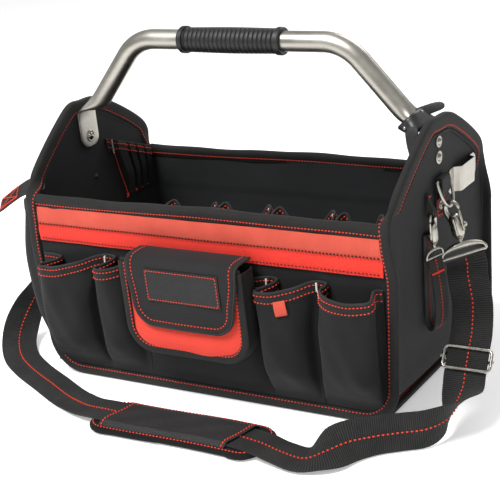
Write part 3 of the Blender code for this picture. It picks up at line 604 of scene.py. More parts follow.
STRAP_ROUTE = [
    ((0.3050, -0.010, 0.1480), FACING),
    ((0.3155, -0.024, 0.1200), FACING),
    ((0.3234, -0.0487, 0.0943), (0.83, 0.50, 0.05)),
    ((0.3262, -0.0644, 0.0821), (0.83, 0.50, 0.05)),
    ((0.3290, -0.0800, 0.0700), (0.83, 0.50, 0.05)),
    ((0.3318, -0.0956, 0.0579), (0.83, 0.50, 0.05)),
    ((0.3346, -0.1113, 0.0457), (0.80, 0.45, 0.20)),
    ((0.3360, -0.1480, 0.0330), (0.45, 0.10, 0.85)),
    ((0.3200, -0.178, 0.0270), (0.10, 0.00, 0.99)),
    ((0.2930, -0.198, 0.0262), (0, 0, 1)),
    ((0.2680, -0.216, 0.0262), (0, 0.05, 1)),
    ((0.2450, -0.236, 0.0250), (-0.10, 0.35, 0.90)),
    ((0.2240, -0.254, 0.0172), (-0.10, 0.80, 0.55)),
    ((0.1980, -0.263, 0.0068), (0.0, 0.99, 0.12)),
    ((0.1640, -0.258, 0.0068), (0.1, 0.99, 0)),
    ((0.1300, -0.251, 0.0104), (0.1, 0.99, 0)),
    ((0.0800, -0.247, 0.0106), (0, 1, 0)),
    ((0.0200, -0.247, 0.0106), (0, 1, 0)),
    ((-0.0500, -0.247, 0.0106), (0, 1, 0)),
    ((-0.1100, -0.243, 0.0102), (0.12, 0.99, 0)),
    ((-0.1500, -0.232, 0.0050), (0.30, 0.95, 0)),
    ((-0.1900, -0.215, 0.0017), (0.38, 0.92, 0)),
    ((-0.2400, -0.190, 0.0015), (0.43, 0.90, 0)),
    ((-0.3000, -0.160, 0.0015), (0.47, 0.88, 0)),
    ((-0.3450, -0.130, 0.0040), (0.55, 0.83, 0)),
    ((-0.3720, -0.095, 0.0200), (0.45, 0.89, 0.1)),
    ((-0.3740, -0.060, 0.0520), (0.25, 0.96, 0.1)),
    ((-0.3580, -0.032, 0.0880), (0.10, 0.99, 0)),
    ((-0.3350, -0.014, 0.1200), (0.0, 1.0, 0)),
    ((-0.3120, -0.004, 0.1490), (0, 1, 0)),
]
SLIDER_AT = 4
HOOK_UP = (-0.22, 0.0, 0.975)
EYE_BAR = 0.0600  # from the middle of a hook's curve down to its eye's bar, at size 1
RING_X = end_x(0.270) + 0.0053


def hook_frame(side):
    """Middle of a strap hook's curve, the way up from it, and the direction along its eye's bar."""
    up = np.array((side * HOOK_UP[0], 0, HOOK_UP[2]))
    up /= np.linalg.norm(up)
    low = np.array((side * (RING_X + 0.0080), 0, 0.236))
    along = np.array(FACING if side > 0 else (0, 1, 0), float)
    along = unit(along - along @ up * up)
    return low - 0.0040 * up, up, along


def strap_section(width, thick):
    """Flat webbing with softly thickened edges."""
    half, t = width / 2, thick / 2
    top = [(half, 0.5 * t), (half - 0.0008, 1.12 * t), (half - 0.003, t), (half / 2, 0.96 * t), (0, 0.94 * t)]
    top += [(-x, y) for x, y in reversed(top[:-1])]
    return np.array(top + [(x, -y) for x, y in reversed(top)])


def strap_line(route, pieces, step):
    rows = curve(np.array([(*point, *across) for point, across in route]), pieces)
    return even(rows, step)


def build_straps():
    ends = []
    for side in (1, -1):
        start, up, along = hook_frame(side)
        bar = start - EYE_BAR * up
        ends.append([(tuple(bar - drop * up), tuple(along)) for drop in (0.0040, 0.0150)])
    route = ends[0] + STRAP_ROUTE + ends[1][::-1]
    line = strap_line(route, 8, 0.0055)
    path, across = line[:, :3], line[:, 3:]
    ripple = 0.0005 * np.sin(steps(path) * 70.0)
    path = path + ripple[:, None] * unit(np.cross(tangents(path),
        across)) * (np.abs(path[:, 2:] - 0.0016) > 0.0012)
    strap = sweep("shoulder_strap_webbing", path, across, strap_section(STRAP_WIDTH, 0.0022), "webbing",
        replaces=["shoulder_strap"])
    ahead = tangents(path)
    flat = square_to(across, ahead)
    up = np.cross(ahead, flat)
    for face in (1, -1):
        red.row(path + face * 0.0010 * up, face * up, 0.0056, 0.0034, 0.0010, 0.0006, 6)

    centre_x, centre_z, size = 0.2752, 0.2362, 0.8
    bar = np.array((centre_x, TAPE_Y, centre_z + 0.0008 - 0.0088 * size - EYE_BAR * size))
    front, back = (0.30, 0.95, 0), (0, 1, 0)
    tape_route = [
        (tuple(bar - np.array((0, 0, 0.0022 * size + 0.0005))), front),
        ((0.2790, TAPE_Y, 0.150), front),
        ((0.2800, TAPE_Y, 0.115), front),
        ((0.2770, TAPE_Y, 0.0935), (0.3, 0.95, 0)),
        ((0.2700, TAPE_Y, 0.0875), (0.2, 0.98, 0)),
        ((0.2640, TAPE_Y, 0.0960), (0.1, 0.99, 0)),
        ((end_x(0.125) + 0.0020, TAPE_Y, 0.125), back),
        ((end_x(0.175) + 0.0016, TAPE_Y, 0.175), back),
        ((end_x(0.212) + 0.0016, TAPE_Y, 0.212), back),
    ]
    line2 = strap_line(tape_route, 8, 0.003)
    path2, across2 = line2[:, :3], line2[:, 3:]
    tape = sweep("tape_strap_webbing", path2, across2, strap_section(TAPE_WIDTH, 0.0018), "webbing",
        replaces=["tape_strap"])
    ahead = tangents(path2)
    up = np.cross(ahead, unit(across2))
    red.row(path2 + 0.0009 * up, up, 0.0042, 0.0028, 0.0007, 0.0005)
    red.row(path2 - 0.0009 * up, -up, 0.0042, 0.0028, 0.0007, 0.0005)
    spot = path2[6]
    lean = unit(across2[6])
    for face in (1, -1):
        for shift in (-0.5, 0.5):
            line3 = [spot - 0.011 * lean + shift * 0.0012 * ahead[6],
                spot + 0.011 * lean + shift * 0.0012 * ahead[6]]
            red.row(np.array(line3) + face * 0.0010 * up[6], face * up[6], 0.0020, 0.0024, 0.0008, 0.0006)
    return strap, path, tape, path2


strap, strap_path, tape_strap, tape_path = build_straps()

# ---------------------------------------------------------------- bag shell

FLOOR_Z = 0.0032
BEND_TOP = FLOOR_Z + CORNER
BEND_X = end_x(BEND_TOP) - CORNER


def side_x(z):
    """Half length of the bag at a height: it curves under at the bottom."""
    z = np.asarray(z, float)
    drop = np.clip(BEND_TOP - z, 0, CORNER)
    return np.where(z < BEND_TOP, BEND_X + np.sqrt(np.maximum(CORNER**2 - drop**2, 0)), end_x(z))


OUTLINE = curve([(-0.1385, 0.232)] + PEAK + [(0.1382, 0.228)], 10)
TOP = int(np.argmax(OUTLINE[:, 1]))


def edge_y(z, back):
    """Y of an end panel's edge at a height, at the front or at the back."""
    z = np.asarray(z, float)
    if back:
        run = OUTLINE[TOP:][::-1]
    else:
        run = OUTLINE[: TOP + 1]
    above = np.interp(z, run[:, 1], run[:, 0])
    plain = front_y(z) * (-1 if back else 1)
    return np.where(z > 0.236, above, plain)


def wave(x, y, *terms):
    """Slow waves for fabric that isn't quite flat. Each term is (height, x turns per metre, y turns, phase)."""
    return sum(h * np.sin(2 * np.pi * (a * x + b * y) + c) for h, a, b, c in terms)


def end_sag(y, z, side):
    """How far an end panel's fabric stands out from its plane."""
    soft = wave(y, z, (0.0007, 5.0, 3.1, 0.4 + side), (0.0005, -3.0, 7.0, 1.9))
    roll = 0.0016 * np.exp(-(((y + 0.128) / 0.012) ** 2)) * smooth((0.25 - z) / 0.05)
    belly = 0.0030 * np.exp(-(((y - 0.075) / 0.045) ** 2) - ((z - 0.10) / 0.07) ** 2)
    return soft * 0.8 + roll + belly - 0.0008


def build_walls():
    z = np.concatenate([np.linspace(FLOOR_Z, BEND_TOP, 9)[:-1], np.linspace(BEND_TOP, 0.3455, 46)])
    t = np.linspace(0, 1, 46)
    for name, side in (("left", -1), ("right", 1)):
        low, high = edge_y(z, False) + 0.002, edge_y(z, True) - 0.002
        y = low[:, None] + t * (high - low)[:, None]
        zz = spread(z, len(t))
        x = side_x(z)[:, None] + end_sag(y, zz, side)
        outer = np.stack([side * x, y, zz], axis=2)
        inner = np.stack([side * (x - 0.0042), y, zz + 0.0006], axis=2)
        inner[:, :, 0] = side * np.minimum(np.abs(inner[:, :, 0]),
            (side_x(z) - WALL + 0.0006)[:, None] + 0.4 * (x - side_x(z)[:, None]))
        shell(f"{name}_end_wall", outer, inner, "panel", replaces=[f"{name}_end_panel"])
    for name, sign, top, node in (("front_wall", 1, FRONT_TOP, "front_panel"),
            ("back_wall", -1, BACK_TOP, "back_panel")):
        z = np.concatenate([np.linspace(FLOOR_Z, BEND_TOP, 8)[:-1], np.linspace(BEND_TOP, top, 40)])
        t = np.linspace(-1, 1, 70)
        x = t * (side_x(z) + 0.0006)[:, None]
        zz = spread(z, len(t))
        sag = wave(x, zz, (0.0006, 4.0, 2.0, 0.3), (0.0004, 7.0, -5.0, 1.1)) * smooth((0.2505 - zz) / 0.03)
        outer = np.stack([x, sign * (front_y(zz) + 0.0004) + sag, zz], axis=2)
        fold = 0.0012 * smooth((zz - 0.180) / 0.002) - 0.0010 * np.exp(-(((zz - 0.1795) / 0.0022) ** 2))
        inner = np.stack([x, sign * (front_y(zz) + WALL - 0.0005 + (fold if sign < 0 else 0)) + 0.6 * sag, zz],
            axis=2)
        # the back wall gets the brighter copy of the panel cloth: painted light on its inside
        shell(name, outer, inner, "panel" if sign > 0 else "panel_painted_light", replaces=[node])
    x, y = np.meshgrid(np.linspace(-1, 1, 30), np.linspace(-1, 1, 22))
    half_x, half_y = BEND_X + 0.006, HALF_DEPTH - 0.002
    rise = 0.0006 + 0.0012 * (np.abs(x) ** 8 + np.abs(y) ** 8) + wave(x, y, (0.0003, 2.0, 1.0, 0.2))
    low = np.stack([half_x * x, half_y * y, rise], axis=2)
    shell("bottom_cover", low, low + np.array((0, 0, 0.0026)), "panel", replaces=["bottom_panel"])
    half_x, half_y = 0.2470, 0.1378
    crown = 0.0012 * (1 - np.abs(x) ** 6) * (1 - np.abs(y) ** 6) + wave(x, y, (0.0002, 3.0, 2.0, 0.9))
    low = np.stack([half_x * x, half_y * y, 0.0048 + 0 * x], axis=2)
    high = np.stack([half_x * x, half_y * y, 0.0090 + crown], axis=2)
    shell("base_board_cover", low, high, "board", replaces=["base_board"])
    corner = 0.010
    a = np.linspace(0, np.pi / 2, 5)
    turn = []
    for sx, sy, start in ((1, 1, 0), (-1, 1, 1), (-1, -1, 2), (1, -1, 3)):
        for angle in a + start * np.pi / 2:
            turn.append((sx * (half_x - 0.004 - corner) + corner * np.cos(angle),
                sy * (half_y - 0.004 - corner) + corner * np.sin(angle), 0.0086))
    loop = looped(turn, 0.008)
    sweep("base_board_binding", loop, (0, 0, 1), oval(0.0019, 0.0042, 10), "binding", closed=True)
    seam_row = even(np.array(turn + turn[:1]), 0.004)
    red.row(seam_row * np.array((0.985, 0.972, 1)) + np.array((0, 0, 0.0012)), (0, 0, 1.0), 0.0055, 0.0040)


# Border binding of each end: along the bottom, round the lower corner, up the front seam,
# over the peak and down the back


def border_stations(side):
    """Rows of (edge point, inward, half width, half thickness) along one end's binding, front middle to back middle."""
    rows = []
    turn = np.linspace(0, np.pi / 2, 9)[1:]
    low, bend, flange = 0.0008, 0.052, 0.0112
    middle = end_x(low + bend) + flange - bend

    def flat(sign):
        top = 0.240 if sign > 0 else 0.205
        part = [((x, sign * (front_y(low) - 0.0006), low), (0, 0, 1), 0.0074, 0.0026) for x in np.linspace(0,
            middle, 12)]
        for a in turn:
            x, z = middle + bend * np.sin(a), low + bend * (1 - np.cos(a))
            part.append(((x, sign * (front_y(z) - 0.0006), z), (-np.sin(a), 0, np.cos(a)), 0.0074, 0.0027))
        for z in np.linspace(0.066, top, 14):
            drawn_in = float(smooth((z - 0.180) / 0.060)) if sign > 0 else 0.0
            place = (end_x(z) + flange - 0.0078 * drawn_in, sign * (front_y(z) - 0.0006 - 0.0032 * drawn_in), z)
            part.append((place, (-1, 0, 0), 0.0074, 0.0028))
        if sign > 0:
            part.append(((end_x(0.257) + 0.0020, front_y(0.257) - 0.0030, 0.257), (-0.96, 0.24, -0.12), 0.0084,
                0.0034))
        else:
            part.append(((end_x(0.228) + 0.0075, -front_y(0.228) + 0.0010, 0.228), (-0.92, -0.38, 0), 0.0080,
                0.0032))
        return part

    rows += flat(1)
    keep = [i for i, (y, z) in enumerate(OUTLINE) if z > (0.274 if y < 0 else 0.262)]
    peak = OUTLINE[keep[0] : keep[-1] + 1]
    ahead = tangents(peak)
    for (y, z), (ty, tz) in zip(peak, ahead):
        rows.append(((end_x(z) - 0.0025, y, z + 0.0015), (0, tz, -ty), 0.0100, 0.0046))
    rows += flat(-1)[::-1]
    table = np.array([(*point, *inward, wide, thick) for point, inward, wide, thick in rows])
    laid = curve(table, 4)
    laid[:, 0] *= side
    laid[:, 3] *= side
    laid[:, 3:6] = unit(laid[:, 3:6])
    return even(laid, 0.0062)


def build_borders():
    for name, side in (("left", -1), ("right", 1)):
        rows = border_stations(side)
        edge, inward = rows[:, :3], unit(rows[:, 3:6])
        wide, thick = rows[:, 6], rows[:, 7]
        inward = square_to(inward, tangents(edge))
        centre = edge + inward * wide[:, None]
        base = oval(1, 1, 16, 0.62)
        section = base[None] * np.stack([wide, thick], axis=1)[:, None, :]
        section[:, :, 1] *= 1 + 0.22 * np.clip(-base[:, 0], 0, 1)[None]
        sweep(f"{name}_border_binding", centre, inward, section, "binding",
            replaces=[f"{name}_end_binding"] + (["front_seam_binding"] if side > 0 else []))
        up = np.cross(tangents(centre), inward)
        line = centre + inward * (0.62 * wide)[:, None]
        for face in (1, -1):
            shown = line + face * (0.80 * thick)[:, None] * up
            red.row(shown, face * up, 0.0048, 0.0030, 0.0008, 0.0005)
        high = centre[:, 2] > 0.262
        piping = (centre + inward * (wide + 0.0022)[:, None])[high]
        for face in (1, -1):
            off = piping + face * 0.0026 * up[high]
            sweep(f"{name}_piping_{'outer' if face * up[high][0][0] * side > 0 else 'inner'}", off,
                inward[high], oval(0.0010, 0.0007, 8, 1.0), "hem")


def build_rims():
    """Rolled bindings along the front and back edges, with the stitched tail of each."""
    shape = [
        (0.0028, -0.0085), (0.0037, -0.0082), (0.0040, -0.0040), (0.0058, 0.0008), (0.0068, 0.0042),
        (0.0062, 0.0074),
        (0.0040, 0.0097), (0.0008, 0.0106), (-0.0026, 0.0100), (-0.0052, 0.0076), (-0.0060, 0.0042),
        (-0.0050, 0.0006),
        (-0.0034, -0.0030), (-0.0034, -0.0080), (-0.0026, -0.0085),
    ]  # (outwards, up) from the panel's middle, 10 mm below the top
    for name, sign, top, size, node in (("front_rim", 1, FRONT_TOP, 1.0, "front_top_binding"),
            ("back_rim", -1, BACK_TOP, 0.92, "back_top_binding")):
        x = np.linspace(-1, 1, 64) * (end_x(top) - 0.0062)
        y = sign * (front_y(top) + WALL / 2) + wave(x, 0, (0.0009, 2.2, 0, 0.7), (0.0005, 5.3, 0, 0.1))
        z = top + wave(x, 0, (0.0009, 1.6, 0, 0.9), (0.0005, 4.1, 0, 2.2)) - 0.0008
        path = np.stack([x, y, z], axis=1)
        section = np.array([(-sign * a * size, b * size) for a, b in shape])
        if sign < 0:
            section = section[::-1]
        fat = 1 + 0.05 * np.sin(x * 61.0) + 0.04 * np.sin(x * 23.0 + 1)
        sections = section[None] * np.stack([fat, fat], axis=1)[:, None, :]
        rings = path[:, None] + sections[:, :, :1] * np.array((0, 1.0, 0)) + sections[:, :, 1:] * np.array((0,
            0, 1.0))
        k = len(section)
        faces, uvs = [], []
        round_it = np.concatenate([[0],
            np.cumsum(np.linalg.norm(np.diff(np.vstack([section, section[:1]]), axis=0), axis=1))])
        for i in range(len(x) - 1):
            for j in range(k):
                m = (j + 1) % k
                faces.append((i * k + j, i * k + m, (i + 1) * k + m, (i + 1) * k + j))
                uvs += [(x[i], round_it[j]), (x[i], round_it[j + 1]), (x[i + 1], round_it[j + 1]),
                    (x[i + 1], round_it[j])]
        for i in (0, len(x) - 1):
            faces.append(tuple(range(i * k, (i + 1) * k)))
            uvs += [(0, 0)] * k
        add(name, rings.reshape(-1, 3), faces, "binding", uvs=uvs, replaces=[node], sharp=70)
        for face in (1, -1):
            line = path + np.array((0, -sign * face * (0.0050 if face > 0 else 0.0046) * size, -0.0016 * size))
            red.row(line, (0, -sign * face, 0.0), 0.0046, 0.0029, 0.00075, 0.0005)


def build_band():
    """Red band below the front rim: ribbed tape above, woven tape below, and dark stitching."""
    t = np.linspace(-1, 1, 90)
    for name, low, high, look, lift, nodes in (
        ("red_band_upper", 0.2155, 0.2400, "red_mesh", 0.0009, []),
        ("red_band_lower", 0.1930, 0.2175, "red", 0.0004, ["red_band"]),
    ):
        z = np.linspace(low, high, 12)
        half = side_x(z) - 0.0075
        x = t * half[:, None]
        zz = spread(z, len(t))
        belly = 0.0011 * np.sin(np.pi * (zz - low) / (high - low)) + lift
        curl = 0.0010 * smooth((0.1975 - zz) / 0.0045)
        ripple = wave(x, zz, (0.0006, 3.3, 0.8, 0.4), (0.0004, 8.1, 9.0, 1.3))
        y = front_y(zz) - 0.0009 - belly - curl - np.abs(ripple)
        grid = np.stack([x, y, zz], axis=2)
        shell(name, grid, grid + np.array((0, 0.0013, 0)), look, replaces=nodes)
    for z, off, pitch, length, width in ((0.2168, 0.0031, 0.0048, 0.0030, 0.0012),
            (0.1966, 0.0032, 0.0050, 0.0030, 0.0008)):
        x = np.linspace(-1, 1, 120) * (float(side_x(z)) - 0.011)
        y = front_y(z) - off - np.abs(wave(x, z, (0.0006, 3.3, 0.8, 0.4), (0.0004, 8.1, 9.0, 1.3)))
        dark.row(np.stack([x, y, z + 0 * x], axis=1), (0, -1, 0), pitch, length, width, 0.0003)


build_walls()
build_borders()
build_rims()
build_band()

# ---------------------------------------------------------------- pockets


def pocket_grid(levels, place, pieces=6, rows=6):
    """Surface through levels of (x, depth, z) controls; place turns those three into points."""
    across = np.array([curve(np.array(level, float), pieces) for level in levels])
    count, columns, _ = across.shape
    grid = curve(across.reshape(count, -1), rows).reshape(-1, columns, 3)
    grid[:, :, 1] = np.maximum(grid[:, :, 1], 0.0010)
    return place(grid)


def on_front(grid):
    x, depth, z = grid[:, :, 0], grid[:, :, 1], grid[:, :, 2]
    return np.stack([x, front_y(z) - 0.0006 - depth, z], axis=2)


def below(grid, drops):
    """Rows of the grid again at distances below its last row."""
    z = grid[:, :, 2]
    rows = []
    for drop in drops:
        row = np.empty_like(grid[0])
        for j in range(grid.shape[1]):
            at = z[-1, j] - drop
            row[j] = [np.interp(at, z[:, j], grid[:, j, axis]) for axis in range(3)]
        rows.append(row)
    return np.array(rows)


def hem(name, grid, depth=0.0155, flip=1, lip=0.0016, thick=0.0014, stitched=(0.0036, 0.0122), both=True,
        pitch=0.0048):
    """Turned-over edge along a pocket's mouth: a band, a rounded lip and two rows of stitches."""
    band = below(grid, np.linspace(depth, 0.0004, 6))
    normals = flip * grid_normals(band)
    outer = band + 0.0008 * normals
    outer[0] -= 0.0007 * normals[0]
    shell(f"{name}_hem", outer, band - (thick + 0.0008) * normals, "binding")
    mouth = even(np.hstack([grid[-1] - 0.5 * thick * normals[-1], normals[-1]]), 0.0022)
    sweep(f"{name}_lip", mouth[:, :3], mouth[:, 3:], oval(lip, lip * 1.15, 10, 1.0), "hem")
    for drop in stitched:
        line = below(grid, [drop])[0]
        around = flip * unit(np.cross(np.gradient(line, axis=0), np.array((0, 0, 1.0))))
        red.row(line + 0.0009 * around, around, pitch, 0.0030, 0.00075, 0.0005)
        if both:
            red.row(line - (thick + 0.0009) * around, -around, pitch, 0.0030, 0.00075, 0.0005)


def folded_pocket(name, node, mouth, waist, foot, look="pocket"):
    """Front pocket through the same number of controls at its mouth, (x, depth, z), its waist, (x, depth), and its foot, x."""
    mouth, waist, foot = (np.array(part, float) for part in (mouth, waist, foot))
    levels = [np.stack([foot, np.full(len(foot), 0.0010), np.full(len(foot), 0.0165)], axis=1)]
    for z, share, deep in ((0.028, 0.10, 0.14), (0.044, 0.40, 0.50), (0.066, 0.85, 0.88), (0.095, 1.0, 1.0),
            (0.125, 1.0, 1.02)):
        x = foot + share * (waist[:, 0] - foot)
        levels.append(np.stack([x, np.maximum(deep * waist[:, 1], 0.0012), np.full(len(foot), z)], axis=1))
    nearly = 0.5 * (mouth[:, :2] + waist)
    levels += [np.column_stack([nearly, mouth[:, 2] - 0.024]), mouth]
    grid = pocket_grid(levels, on_front)
    soft = wave(grid[:, :, 0], grid[:, :, 2], (0.0011, 9.0, 6.0, 0.6), (0.0008, -14.0, 9.0, 2.0),
        (0.0005, 30.0, 12.0, 0.3))
    fade = smooth((grid[:, :, 2] - 0.025) / 0.04) * smooth((front_y(grid[:, :, 2]) - 0.010 - grid[:, :, 1]) / 0.008)
    grid[:, :, 1] += soft * fade
    cloth(name, grid, 0.0014, look, replaces=[node])
    hem(name, grid)
    return grid


def build_front_pockets():
    folded_pocket(
        "pocket_1", "front_pocket_1",
        [(-0.2560, 0.0010, 0.1735), (-0.2420, 0.0012, 0.1735), (-0.2285, 0.0022, 0.1728),
            (-0.2250, 0.0060, 0.1718), (-0.2320, 0.0150, 0.1700),
         (-0.2445, 0.0235, 0.1682), (-0.2430, 0.0300, 0.1678), (-0.2310, 0.0330, 0.1680),
         (-0.2140, 0.0325, 0.1690), (-0.1820, 0.0240, 0.1755),
         (-0.1600, 0.0090, 0.1812), (-0.1480, 0.0030, 0.1822), (-0.1385, 0.0012, 0.1812)],
        [(-0.2560, 0.0010), (-0.2480, 0.0012), (-0.2400, 0.0018), (-0.2350, 0.0050), (-0.2400, 0.0110),
            (-0.2490, 0.0180), (-0.2480, 0.0260),
         (-0.2380, 0.0310), (-0.2160, 0.0330), (-0.1900, 0.0305), (-0.1755, 0.0200), (-0.1700, 0.0060),
         (-0.1560, 0.0014)],
        [-0.2570, -0.2560, -0.2550, -0.2540, -0.2530, -0.2520, -0.2490, -0.2400, -0.2180, -0.1920, -0.1720,
            -0.1660, -0.1640],
    )
    folded_pocket(
        "pocket_2", "front_pocket_2",
        [(-0.1385, 0.0012, 0.1812), (-0.1340, 0.0030, 0.1800), (-0.1360, 0.0075, 0.1780),
            (-0.1430, 0.0150, 0.1752), (-0.1515, 0.0225, 0.1732),
         (-0.1500, 0.0285, 0.1728), (-0.1400, 0.0318, 0.1732), (-0.1270, 0.0312, 0.1742),
         (-0.1120, 0.0230, 0.1775), (-0.1050, 0.0120, 0.1815),
         (-0.1010, 0.0050, 0.1830), (-0.0900, 0.0020, 0.1836)],
        [(-0.1560, 0.0014), (-0.1450, 0.0030), (-0.1440, 0.0080), (-0.1470, 0.0150), (-0.1530, 0.0210),
            (-0.1515, 0.0280), (-0.1420, 0.0310),
         (-0.1280, 0.0305), (-0.1150, 0.0240), (-0.1080, 0.0130), (-0.1040, 0.0050), (-0.0950, 0.0020)],
        [-0.1636, -0.1634, -0.1632, -0.1628, -0.1620, -0.1600, -0.1510, -0.1360, -0.1200, -0.1080, -0.1020,
            -0.0960],
    )
    folded_pocket(
        "pocket_3", "front_pocket_3",
        [(-0.0895, 0.0025, 0.1832), (-0.0600, 0.0070, 0.1825), (-0.0200, 0.0086, 0.1820),
            (0.0300, 0.0086, 0.1800), (0.0600, 0.0084, 0.1765),
         (0.0780, 0.0076, 0.1755), (0.0960, 0.0046, 0.1775), (0.1040, 0.0022, 0.1775),
         (0.1080, 0.0012, 0.1766)],
        [(-0.0940, 0.0022), (-0.0650, 0.0075), (-0.0200, 0.0086), (0.0300, 0.0086), (0.0560, 0.0084),
            (0.0700, 0.0076), (0.0780, 0.0050),
         (0.0850, 0.0022), (0.0980, 0.0012)],
        [-0.0955, -0.0700, -0.0300, 0.0200, 0.0520, 0.0680, 0.0800, 0.0880, 0.0920],
    )
    folded_pocket(
        "pocket_4", "front_pocket_4",
        [(0.1080, 0.0012, 0.1766), (0.1125, 0.0028, 0.1755), (0.1105, 0.0078, 0.1735), (0.1030, 0.0160, 0.1708),
            (0.0945, 0.0235, 0.1690),
         (0.0950, 0.0295, 0.1684), (0.1040, 0.0330, 0.1684), (0.1180, 0.0325, 0.1692), (0.1430, 0.0235, 0.1745),
         (0.1600, 0.0090, 0.1790),
         (0.1700, 0.0030, 0.1796), (0.1775, 0.0012, 0.1785)],
        [(0.0980, 0.0012), (0.1040, 0.0028), (0.1050, 0.0080), (0.1020, 0.0160), (0.0975, 0.0230),
            (0.0985, 0.0290), (0.1070, 0.0325),
         (0.1200, 0.0335), (0.1420, 0.0310), (0.1545, 0.0200), (0.1590, 0.0060), (0.1680, 0.0014)],
        [0.0925, 0.0926, 0.0928, 0.0930, 0.0935, 0.0950, 0.1040, 0.1190, 0.1400, 0.1560, 0.1620, 0.1650],
    )
    folded_pocket(
        "pocket_5", "front_pocket_5",
        [(0.1775, 0.0012, 0.1785), (0.1815, 0.0030, 0.1775), (0.1800, 0.0075, 0.1755), (0.1775, 0.0130, 0.1735),
            (0.1830, 0.0200, 0.1710),
         (0.1960, 0.0270, 0.1690), (0.2140, 0.0320, 0.1682), (0.2340, 0.0335, 0.1690), (0.2500, 0.0325, 0.1718),
         (0.2545, 0.0270, 0.1750),
         (0.2510, 0.0170, 0.1768), (0.2480, 0.0080, 0.1772), (0.2510, 0.0026, 0.1768),
         (0.2560, 0.0012, 0.1762)],
        [(0.1680, 0.0014), (0.1745, 0.0030), (0.1750, 0.0080), (0.1735, 0.0140), (0.1770, 0.0220),
            (0.1890, 0.0285), (0.2100, 0.0330),
         (0.2330, 0.0335), (0.2480, 0.0300), (0.2530, 0.0220), (0.2490, 0.0130), (0.2480, 0.0060),
         (0.2510, 0.0024), (0.2560, 0.0012)],
        [0.1654, 0.1656, 0.1658, 0.1662, 0.1700, 0.1840, 0.2040, 0.2240, 0.2380, 0.2450, 0.2480, 0.2500, 0.2530,
            0.2560],
    )
    for x, depth, z, lean in ((-0.1500, 0.0046, 0.1815, 0.10), (0.0985, 0.0054, 0.1768, 0.06),
            (0.1690, 0.0050, 0.1790, -0.04)):
        spot = (x, front_y(z) - 0.0006 - depth, z - 0.0055)
        white.tack(spot, (lean, 0.03, 1), (0.25, -1, 0), 0.0095, 0.0030)
    tail = [(0.1706, front_y(0.17) - 0.0062, 0.1690), (0.1712, front_y(0.16) - 0.0068, 0.1610),
        (0.1716, front_y(0.15) - 0.0060, 0.1545)]
    white.row(curve(tail, 4), (0.2, -1, 0), 0.0030, 0.0029, 0.0006, 0.0004)


def build_tag():
    """Folded loop of red tape sewn under the fourth pocket's hem."""
    lean = np.array((0.17, -0.02, -0.98))
    start = np.array((0.1300, front_y(0.167) - 0.0318, 0.1610))
    across = unit(np.array((1.0, 0.36, 0.17)))
    out = unit(np.cross(across, lean))
    out = out * np.sign(-out[1])
    drops = np.array([0.0, 0.004, 0.009, 0.014, 0.0172, 0.0184, 0.0172, 0.014, 0.009, 0.004, 0.0])
    lifts = np.array([0.0012, 0.0024, 0.0034, 0.0038, 0.0034, 0.0020, 0.0006, 0.0006, 0.0006, 0.0004, 0.0002])
    path = start + drops[:, None] * lean + lifts[:, None] * out
    path = even(curve(path, 4), 0.0012)
    sweep("red_loop_tape", path, across, oval(0.0075, 0.0004, 12, 0.5), "red_mesh", replaces=["red_loop_tag"])


# ---------------------------------------------------------------- pouch with its flap

POUCH_FACE, POUCH_BACK, POUCH_MID, POUCH_HALF, POUCH_LOW, POUCH_TOP, POUCH_BEND = -0.1824, -0.1562, -0.0040, 0.0925, 0.0720, 0.1955, 0.036
FLAP_HALF, FLAP_LOW, FLAP_BEND = 0.0775, 0.1128, 0.029


def u_path(middle, half, low, top, bend, spread=0.0):
    """Rounded U from its top left corner down, along and up to its top right corner, as (x, z)."""
    a = np.linspace(0, np.pi / 2, 12)
    left = [(-half - spread, top), (-half - 0.5 * spread, 0.5 * (top + low + bend))]
    left += [(-half + bend * (1 - np.cos(angle)), low + bend * (1 - np.sin(angle))) for angle in a]
    right = [(-x, z) for x, z in reversed(left)]
    run = np.array(left + right)
    return even(np.stack([run[:, 0] + middle, 0 * run[:, 0], run[:, 1]], axis=1), 0.003)


